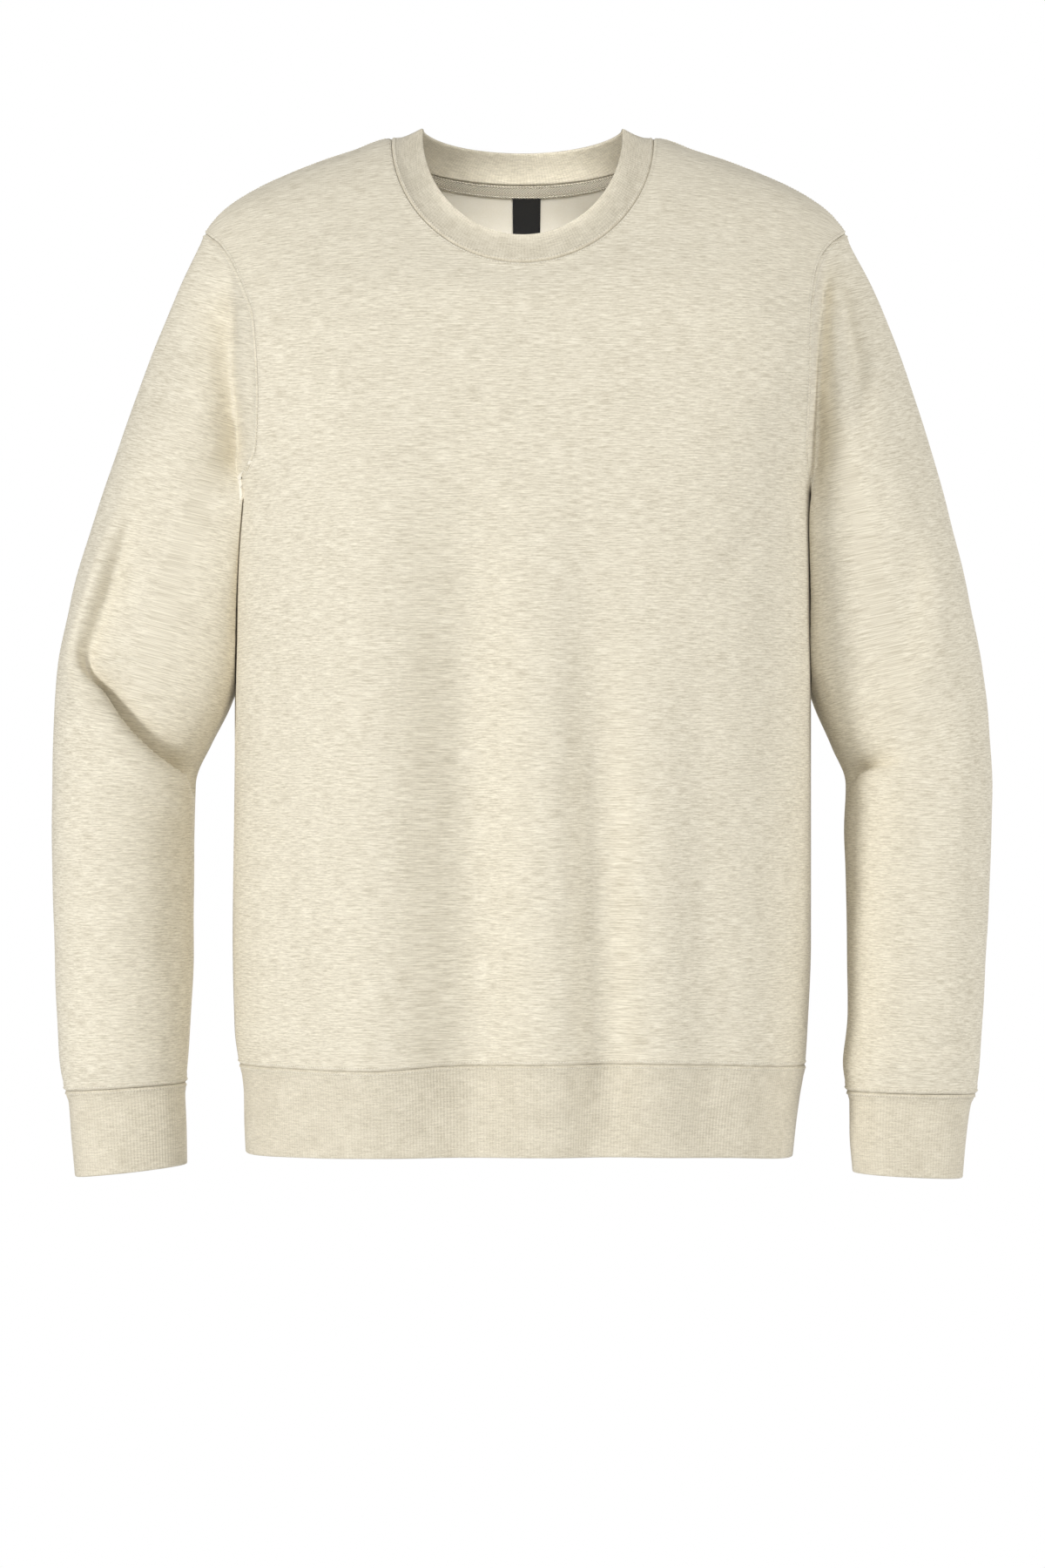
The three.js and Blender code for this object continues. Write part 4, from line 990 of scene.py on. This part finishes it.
def sleeveGrid(part):
    hand = part["hand"]
    angle = np.linspace(-math.pi, math.pi, sleeve["around"], endpoint=False)  # from the underarm, back first
    seamRow = 1 - np.abs(angle) / math.pi  # share of the way from the underarm up to the tip
    seam = np.where((angle >= 0)[:, None], armholeAt[-1, hand](seamRow), armholeAt[1, hand](seamRow))
    tube = tubeThrough(part["sections"], True)
    extra = [d / sleeve["length"] for d in panel["edgeSteps"]]
    even = np.linspace(0, 1, sleeve["rows"] + 1)[3:-2]
    shares = np.array(sorted({0.0, *extra, *even, *[1 - e for e in extra], 1.0}))
    share, turn = np.meshgrid(shares, angle, indexing="ij")
    row = np.broadcast_to(seamRow, share.shape)
    leaving = 1 - ease(share / sleeve["armholeBlend"])
    low = ease(1 - row / 0.7)
    gone = share * mix(1, ease(share / 0.2), low)
    p = tube(hand, gone, turn) + (seam - tube(hand, 0 * angle, angle))[None] * leaving[..., None]
    standing = ease(share / 0.07) * (1 - ease((share - 0.07) / 0.13))
    strip = sleeve["underarmStrip"] * low * mix(0.25, 1, ease(row * 3))
    p[..., 0] += hand * strip * standing
    middle = (tube(hand, share, 0 * turn) + tube(hand, share, 0 * turn + math.pi)) / 2
    inward = unit(middle - p)
    for fold in part["folds"]:
        # folds sink mostly straight back, as they look from the front
        sinking = unit(0.45 * inward - np.array([0, fold["side"], 0]))
        shown = clamp01(-fold["side"] * np.sin(turn) * 1.6)
        signed, at, leftward = foldAt(fold["line"], p[..., 0], p[..., 2])
        shown = shown * ease(share * sleeve["length"] / 3.5)
        if fold["start"]:
            shown = shown * ease(at / fold["start"])
        if fold["end"]:
            shown = shown * ease((1 - at) / fold["end"])
        reach = np.where(signed > 0, fold["left"], fold["right"])
        depth = fold["deep"] * np.exp(-np.abs(signed / reach) ** 1.5)
        if "swell" in fold:
            depth -= fold["swell"] * np.exp(-((signed + 9) / 8) ** 2)
        p += sinking * (shown * depth)[..., None]
        if "lap" in fold:
            # the cloth on one side of the crease is pushed over the cloth on its other side
            over = math.copysign(1, fold["lap"])
            push = fold["lap"] * shown ** 2 * np.exp(-((signed * over + 3.5) / 3.2) ** 2)
            p[..., 0] += push * leftward[..., 0]
            p[..., 2] += push * leftward[..., 1]
    margin = sleeve["bodyClearance"] * ease(share / 0.1)
    return np.concatenate([p[:1], clearOfBody(p, hand, margin)[1:]]), seam, seamRow


def placeOnSleeve(part, grid):
    # where each point lay in the flat cloth, whose courses run square across the sleeve
    middles = [(part["hand"] * (row["outX"] + row["inX"]) / 2, (row["outZ"] + row["inZ"]) / 2)
               for row in part["sections"]]
    start = np.array(middles[0]) + 1.6 * (np.array(middles[0]) - middles[2])
    line = [tuple(start), *middles]
    length = np.linalg.norm(np.diff(np.array(line), axis=0), axis=1).sum()
    _, share, _ = foldAt(line, grid[..., 0], grid[..., 2])
    down = np.concatenate([share, share[:, :1]], axis=1) * -length
    angle = np.linspace(-math.pi, math.pi, grid.shape[1] + 1)
    across = np.broadcast_to(angle * sleeve["meanRadius"], down.shape)
    return np.stack([across + sleeve["flatApart"] * part["hand"], down], axis=-1)


def makeSleeve(part):
    hand = part["hand"]
    grid, seam, seamRow = sleeveGrid(part)
    middle = mix(body["underarmZ"], body["tipZ"], 0.5)
    toMiddle = unit(points(0 * seam[:, 0], -seam[:, 1], middle - seam[:, 2]))
    away = unit(np.cross(np.roll(seam, -1, axis=0) - np.roll(seam, 1, axis=0), toMiddle))
    grid[0] += away * (np.sign(away[:, :1]) * hand * sleeve["gap"])
    normals = normalsOf(grid, True)
    sign = np.sign((normals[100] * (grid[100] - grid[100].mean(axis=0))).sum())
    normals = normals * sign
    far, along = distanceTo(grid, [(grid[0], True), (grid[-1], True)])
    rise = seamRise(far) + unevenness(grid, part["seed"], sleeve["unevenHigh"]) * ease(far / panel["foldsFrom"])
    outer = grid + normals * rise[..., None]
    inward = -normals.copy()
    folded = 1.2 * ease(1 - 3 * seamRow)
    inward[0] = toMiddle + folded[:, None] * np.array([hand, 0, 0])
    inward[-1, :, 2] = 0
    inner = outer + unit(inward) * sleeve["thick"]
    made = clothWall(part["name"] + "_cloth", outer, inner, True, [fleeceCloth, insideCloth],
                     far, along, placeOnSleeve(part, grid))
    part.update(normals=normals, outer=outer, object=made)


for part in (rightSleeve, leftSleeve):
    makeSleeve(part)
print("sleeves made")

cuff = dict(thick=2.8, gap=0.1, steps=22, high=60, unevenHigh=0.15)
rightCuff = dict(hand=-1, name="right_cuff", seed=61, sections=rowsOf(sectionNames, [
    (326, -681, 240.8, -675, -19, 34, 35), (323.8, -690, 240.8, -684, -20, 31, 32),
    (322, -712, 239.8, -706, -22, 29.5, 30), (319.3, -741, 239.2, -732, -24, 29, 29)]))
leftCuff = dict(hand=1, name="left_cuff", seed=62, sections=rowsOf(sectionNames, [
    (323.3, -683, 232, -681, -17, 35, 35), (320.3, -691, 233.4, -689, -18, 32, 32),
    (317, -712, 233.4, -711, -20, 30, 30), (314, -742, 235.5, -738, -22, 29, 29)]))


def makeCuff(part):
    tube = tubeThrough(part["sections"], False)
    angle = np.linspace(-math.pi, math.pi, sleeve["around"], endpoint=False)
    share, turn = np.meshgrid(ribShares(cuff, 3), angle, indexing="ij")
    grid = tube(part["hand"], share, turn)
    grid[..., 2] -= cuff["gap"] * (1 - share)
    normals = normalsOf(grid, True)
    normals *= np.sign((normals * (grid - grid.mean(axis=1, keepdims=True))).sum())
    normals[0, :, 2] = 0
    normals = unit(normals)
    far, _ = distanceTo(grid, [(grid[0], True)])
    rise = seamRise(far) + unevenness(grid, part["seed"], cuff["unevenHigh"])
    outer = grid + normals * rise[..., None]
    inner = grid - normals * cuff["thick"]
    away = unit(grid[-1] - grid[-2])
    part.update(normals=normals, outer=outer)
    part["object"] = foldedRib(part["name"] + "_rib", outer, inner, away, [ribCloth], far)


for part in (rightCuff, leftCuff):
    makeCuff(part)
print("cuffs made")


# Tape and label, laid on the inner face of the back panel

tape = dict(columns=7, top=1.5, foot=13, thick=1.0, gap=0.3, crown=0.35)
label = dict(across=(-7, 13), tall=44, thick=0.7, gap=0.3, swing=2.5)


def innerSpots(columns, downs):
    # spots on the inner face, a distance down each column from the neck seam
    piece = panels[1]
    path = piece["inner"][::-1]
    inward = unit(piece["inset"])[::-1]
    spots = np.zeros((len(downs), path.shape[1], 3))
    facing = np.zeros_like(spots)
    gone = np.cumsum(np.linalg.norm(np.diff(path, axis=0), axis=-1), axis=0)
    gone = np.concatenate([np.zeros((1, path.shape[1])), gone])
    for c in range(path.shape[1]):
        for k in range(3):
            spots[:, c, k] = np.interp(downs, gone[:, c], path[:, c, k])
            facing[:, c, k] = np.interp(downs, gone[:, c], inward[:, c, k])
    order = np.argsort(spots[0, :, 0])
    at = np.sort(panelColumns)

    def take(values):
        return np.stack([np.stack([np.interp(columns, at, line[order, k]) for k in range(3)], axis=-1)
                         for line in values])

    return take(spots), unit(take(facing))


def laidStrip(name, columns, downs, thick, lift, material):
    spots, inward = innerSpots(columns, downs)
    near = spots + inward * (tape["gap"] + lift)[..., None]
    top = near + inward * thick
    far = np.full(near.shape[:2], noSeam)
    return clothWall(name, top, near, False, [material], far, far), top, inward


tapeShares = np.linspace(0, 1, 11)
tapeDowns = mix(tape["top"], tape["foot"], tapeShares)
tapeColumns = np.linspace(-tape["columns"], tape["columns"], 97)
tapeLift = np.repeat((tape["crown"] * np.sin(math.pi * tapeShares))[:, None], len(tapeColumns), axis=1)
tapePiece, tapeTop, tapeFacing = laidStrip(
    "neck_tape_cloth", tapeColumns, tapeDowns, tape["thick"], tapeLift, tapeCloth)

labelShares = np.linspace(0, 1, 25)
labelDowns = tape["foot"] + label["gap"] + label["tall"] * labelShares
perColumn = float(topEdge(1, np.array(1.0))[0])
labelColumns = np.linspace(*[x / perColumn for x in label["across"]], 13)
curl = 0.25 * np.cos(np.linspace(-1, 1, 13) * math.pi)
labelLift = label["swing"] * labelShares[:, None] + curl[None, :] * labelShares[:, None]
labelPiece, labelTop, labelFacing = laidStrip(
    "neck_label_cloth", labelColumns, labelDowns, label["thick"], labelLift, labelCloth)
print("tape and label made")


# Sewing: rows of stitches along the seams, made by one tree

stitch = dict(
    spacing=2.1, length=1.5, radius=0.3, lift=0.12,
    besideSeam=2.6, besideTapeEdge=1.3, besideLabelEdge=1.0, labelSpacing=1.6, labelLength=1.3,
)


def stitchTree():
    tree = bpy.data.node_groups.new("stitchRow", "GeometryNodeTree")
    face = tree.interface
    face.new_socket("Geometry", in_out="INPUT", socket_type="NodeSocketGeometry")
    for name in ("Spacing", "Stitch Length", "Thread Radius"):
        face.new_socket(name, in_out="INPUT", socket_type="NodeSocketFloat")
    face.new_socket("Seed", in_out="INPUT", socket_type="NodeSocketInt")
    face.new_socket("Thread", in_out="INPUT", socket_type="NodeSocketMaterial")
    face.new_socket("Geometry", in_out="OUTPUT", socket_type="NodeSocketGeometry")
    add, link = tree.nodes.new, tree.links.new
    given, result = add("NodeGroupInput"), add("NodeGroupOutput")
    toCurve = add("GeometryNodeMeshToCurve")
    link(given.outputs["Geometry"], toCurve.inputs["Mesh"])
    spread = add("GeometryNodeResampleCurve")
    spread.mode = "LENGTH"
    link(toCurve.outputs["Curve"], spread.inputs["Curve"])
    link(given.outputs["Spacing"], spread.inputs["Length"])
    tangent = add("GeometryNodeInputTangent")
    turn = add("FunctionNodeAlignRotationToVector")
    turn.axis = "X"
    link(tangent.outputs["Tangent"], turn.inputs["Vector"])
    bead = add("GeometryNodeMeshUVSphere")
    bead.inputs["Segments"].default_value = 6
    bead.inputs["Rings"].default_value = 4
    bead.inputs["Radius"].default_value = 1.0
    halfLength = add("ShaderNodeMath")
    halfLength.operation = "MULTIPLY"
    halfLength.inputs[1].default_value = 0.5
    link(given.outputs["Stitch Length"], halfLength.inputs[0])
    size = add("ShaderNodeCombineXYZ")
    link(halfLength.outputs["Value"], size.inputs["X"])
    link(given.outputs["Thread Radius"], size.inputs["Y"])
    link(given.outputs["Thread Radius"], size.inputs["Z"])
    uneven = add("FunctionNodeRandomValue")
    uneven.data_type = "FLOAT"
    floats = [s for s in uneven.inputs if s.type == "VALUE"]
    floats[0].default_value = 0.85
    floats[1].default_value = 1.12
    link(given.outputs["Seed"], uneven.inputs["Seed"])
    scale = add("ShaderNodeVectorMath")
    scale.operation = "SCALE"
    link(size.outputs["Vector"], scale.inputs["Vector"])
    link([s for s in uneven.outputs if s.type == "VALUE"][0], scale.inputs["Scale"])
    copies = add("GeometryNodeInstanceOnPoints")
    link(spread.outputs["Curve"], copies.inputs["Points"])
    link(bead.outputs["Mesh"], copies.inputs["Instance"])
    link(turn.outputs["Rotation"], copies.inputs["Rotation"])
    link(scale.outputs["Vector"], copies.inputs["Scale"])
    real = add("GeometryNodeRealizeInstances")
    link(copies.outputs["Instances"], real.inputs["Geometry"])
    paint = add("GeometryNodeSetMaterial")
    link(real.outputs["Geometry"], paint.inputs["Geometry"])
    link(given.outputs["Thread"], paint.inputs["Material"])
    link(paint.outputs["Geometry"], result.inputs["Geometry"])
    return tree


stitchRow = stitchTree()
stitchInput = {s.name: s.identifier for s in stitchRow.interface.items_tree
               if s.item_type == "SOCKET" and s.in_out == "INPUT"}


def sewRows(name, lines, material, seed, spacing=stitch["spacing"], length=stitch["length"]):
    # one mesh of all the stitches along a list of (points, closed)
    vertices, edges = [], []
    for path, closed in lines:
        first = len(vertices)
        vertices += (np.asarray(path) * mm).tolist()
        edges += [(first + k, first + k + 1) for k in range(len(path) - 1)]
        if closed:
            edges.append((first + len(path) - 1, first))
    mesh = bpy.data.meshes.new(name + "_path")
    mesh.from_pydata(vertices, edges, [])
    piece = bpy.data.objects.new(name, mesh)
    bpy.context.scene.collection.objects.link(piece)
    modifier = piece.modifiers.new("stitches", "NODES")
    modifier.node_group = stitchRow
    modifier[stitchInput["Spacing"]] = spacing * mm
    modifier[stitchInput["Stitch Length"]] = length * mm
    modifier[stitchInput["Thread Radius"]] = stitch["radius"] * mm
    modifier[stitchInput["Seed"]] = seed
    modifier[stitchInput["Thread"]] = material
    made = bpy.data.meshes.new_from_object(piece.evaluated_get(bpy.context.evaluated_depsgraph_get()))
    piece.modifiers.clear()
    piece.data = made
    made.name = name
    made.polygons.foreach_set("use_smooth", np.ones(len(made.polygons), bool))
    return piece


def beside(outer, normals, edge, distance=stitch["besideSeam"]):
    # the line on a grid at a distance from one of its edges
    if edge in ("first", "last"):
        outer, normals = np.swapaxes(outer, 0, 1), np.swapaxes(normals, 0, 1)
    if edge in ("top", "last"):
        outer, normals = outer[::-1], normals[::-1]
    gone = np.concatenate([np.zeros((1, outer.shape[1])),
                           np.cumsum(np.linalg.norm(np.diff(outer, axis=0), axis=-1), axis=0)])
    line = np.zeros((outer.shape[1], 3))
    for c in range(outer.shape[1]):
        for k in range(3):
            lifted = outer[:, c, k] + normals[:, c, k] * stitch["lift"]
            line[c, k] = np.interp(distance, gone[:, c], lifted)
    return line


def edgeLines(parts, edge, closed):
    return [(beside(part["outer"], part["normals"], edge), closed) for part in parts]


front, back = panels[-1], panels[1]
topLines = [line for line, _ in edgeLines((front, back), "top", False)]
neckLines = [(line[isNeck], False) for line in topLines]
neckLines.append((beside(neckOuter, neckNormals, "bottom"), True))
neckStitches = sewRows("neck_stitches", neckLines, creamThread, 1)
pastCorner = body["neckColumns"] + 0.2
shoulderLines = [(line[hand * panelColumns >= pastCorner], False) for line in topLines for hand in (1, -1)]
shoulderStitches = sewRows("shoulder_stitches", shoulderLines, creamThread, 2)
waistLines = edgeLines((front, back), "bottom", False)
waistLines.append((beside(waistOuter, waistNormals, "bottom"), True))
waistStitches = sewRows("waist_stitches", waistLines, creamThread, 3)
armholeRows = slice(len(lowerShares) + 2, -2)
armholeLines = [(beside(piece["outer"][armholeRows], piece["normals"][armholeRows], edge), False)
                for piece in (front, back) for edge in ("first", "last")]
armholeLines += edgeLines((rightSleeve, leftSleeve), "bottom", True)
armholeStitches = sewRows("armhole_stitches", armholeLines, creamThread, 4)
cuffLines = edgeLines((rightSleeve, leftSleeve), "top", True) + edgeLines((rightCuff, leftCuff), "bottom", True)
cuffStitches = sewRows("cuff_stitches", cuffLines, creamThread, 5)
tapeLines = [(beside(tapeTop, tapeFacing, edge, stitch["besideTapeEdge"]), False) for edge in ("top", "bottom")]
tapeStitches = sewRows("tape_stitches", tapeLines, creamThread, 6)
labelLine = beside(labelTop, labelFacing, "bottom", stitch["besideLabelEdge"])
labelStitches = sewRows("label_stitches", [(labelLine, False)], blackThread, 7,
                        spacing=stitch["labelSpacing"], length=stitch["labelLength"])
print("sewing made")


# What each piece stands for, and the cut of its cloth

cuts = [
    # piece, node, slot, flat size in metres, its area where that isn't their product, how it is held
    (front["object"], "front_panel", "fleece", (0.56, 0.66), 0.32, "hung"),
    (back["object"], "back_panel", "fleece", (0.56, 0.68), 0.335, "hung"),
    (rightSleeve["object"], "right_sleeve", "fleece", (0.42, 0.57), 0.185, "hung"),
    (leftSleeve["object"], "left_sleeve", "fleece", (0.42, 0.57), 0.185, "hung"),
    (neckbandPiece, "neckband", "rib", (0.54, 0.024), None, "stretched"),
    (waistbandPiece, "waistband", "rib", (0.98, 0.066), None, "stretched"),
    (rightCuff["object"], "right_cuff", "rib", (0.22, 0.062), None, "stretched"),
    (leftCuff["object"], "left_cuff", "rib", (0.22, 0.062), None, "stretched"),
    (tapePiece, "neck_tape", "tape", (0.16, 0.0115), None, "laid"),
    (labelPiece, "neck_label", "label", (0.02, 0.044), None, "hung"),
]


def clothArea(piece):
    return sum(face.area for face in piece.data.polygons) / 2


for piece, node, slot, *_ in cuts:
    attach(piece, "root")
    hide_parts(node)
    print(node, "area", round(clothArea(piece), 4), "faces", len(piece.data.polygons))
for piece, slot in ((neckStitches, "rib"), (shoulderStitches, "fleece"), (waistStitches, "rib"),
                    (armholeStitches, "fleece"), (cuffStitches, "rib"), (tapeStitches, "tape"),
                    (labelStitches, "label")):
    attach(piece, "root")
    print(piece.name, "faces", len(piece.data.polygons))


# Floor, light and camera

studio = dict(
    floorZ=-1.27, floorRadius=1.6, worldLight=0.28, skyColour=(1.0, 1.0, 1.0),
    lamps=rowsOf("name place size power aim spread", [
        ("key", (-3.0, -2.5, 0.05), 0.8, 85, (0, 0, -0.38), 180),
        ("front", (0.7, -4.0, 1.2), 1.4, 58, (0, 0, -0.38), 180),
        ("right", (3.7, -0.9, 0.3), 1.8, 56, (0, 0, -0.38), 180),
        ("insideNeck", (0, -0.12, 0.02), 0.08, 0.058, (0, 0.09, -0.1), 46),
        ("behind", (0.8, 4.2, 0.8), 2.4, 90, (0, 0, -0.38), 180)]),
)


def makeFloor():
    mesh = bpy.data.meshes.new("floor")
    ring = [(studio["floorRadius"] * math.cos(a), studio["floorRadius"] * math.sin(a), studio["floorZ"])
            for a in np.linspace(0, 2 * math.pi, 97)[:-1]]
    mesh.from_pydata(ring, [], [list(range(len(ring)))])
    material = bpy.data.materials.new("paleFloor")
    material.use_nodes = True
    surface = material.node_tree.nodes["Principled BSDF"]
    surface.inputs["Base Color"].default_value = (0.86, 0.86, 0.86, 1)
    surface.inputs["Roughness"].default_value = 0.9
    mesh.materials.append(material)
    floor = bpy.data.objects.new("floor", mesh)
    bpy.context.scene.collection.objects.link(floor)


def makeLight(name, place, size, power, aim, spread):
    lamp = bpy.data.lights.new(name, "AREA")
    lamp.shape = "DISK"
    lamp.size = size
    lamp.energy = power
    lamp.spread = math.radians(spread)
    item = bpy.data.objects.new(name, lamp)
    item.location = place
    away = np.array(aim) - np.array(place)
    flat = math.hypot(away[0], away[1])
    item.rotation_euler = (math.pi / 2 + math.atan2(away[2], flat), 0, math.atan2(-away[0], away[1]))
    bpy.context.scene.collection.objects.link(item)


def makeWorld():
    world = bpy.data.worlds.new("studio")
    world.use_nodes = True
    nodes, links = world.node_tree.nodes, world.node_tree.links
    nodes.clear()
    seen, lit = nodes.new("ShaderNodeBackground"), nodes.new("ShaderNodeBackground")
    seen.inputs["Color"].default_value = (*studio["skyColour"], 1)
    lit.inputs["Color"].default_value = (*studio["skyColour"], 1)
    lit.inputs["Strength"].default_value = studio["worldLight"]
    path, mixer = nodes.new("ShaderNodeLightPath"), nodes.new("ShaderNodeMixShader")
    links.new(path.outputs["Is Camera Ray"], mixer.inputs["Fac"])
    links.new(lit.outputs["Background"], mixer.inputs[1])
    links.new(seen.outputs["Background"], mixer.inputs[2])
    out = nodes.new("ShaderNodeOutputWorld")
    links.new(mixer.outputs["Shader"], out.inputs["Surface"])
    bpy.context.scene.world = world


makeFloor()
makeWorld()
for lamp in studio["lamps"]:
    makeLight(**lamp)

view = dict(distance=4.0, height=-0.4625, frameHigh=1.125, sensor=36)
lens = bpy.data.cameras.new("camera")
lens.sensor_width = view["sensor"]
lens.lens = view["sensor"] * view["distance"] / view["frameHigh"]
camera = bpy.data.objects.new("camera", lens)
camera.location = (0, -view["distance"], view["height"])
camera.rotation_euler = (math.pi / 2, 0, 0)
bpy.context.scene.collection.objects.link(camera)
bpy.context.scene.camera = camera
bpy.context.scene.view_settings.view_transform = "Standard"
print("studio made")
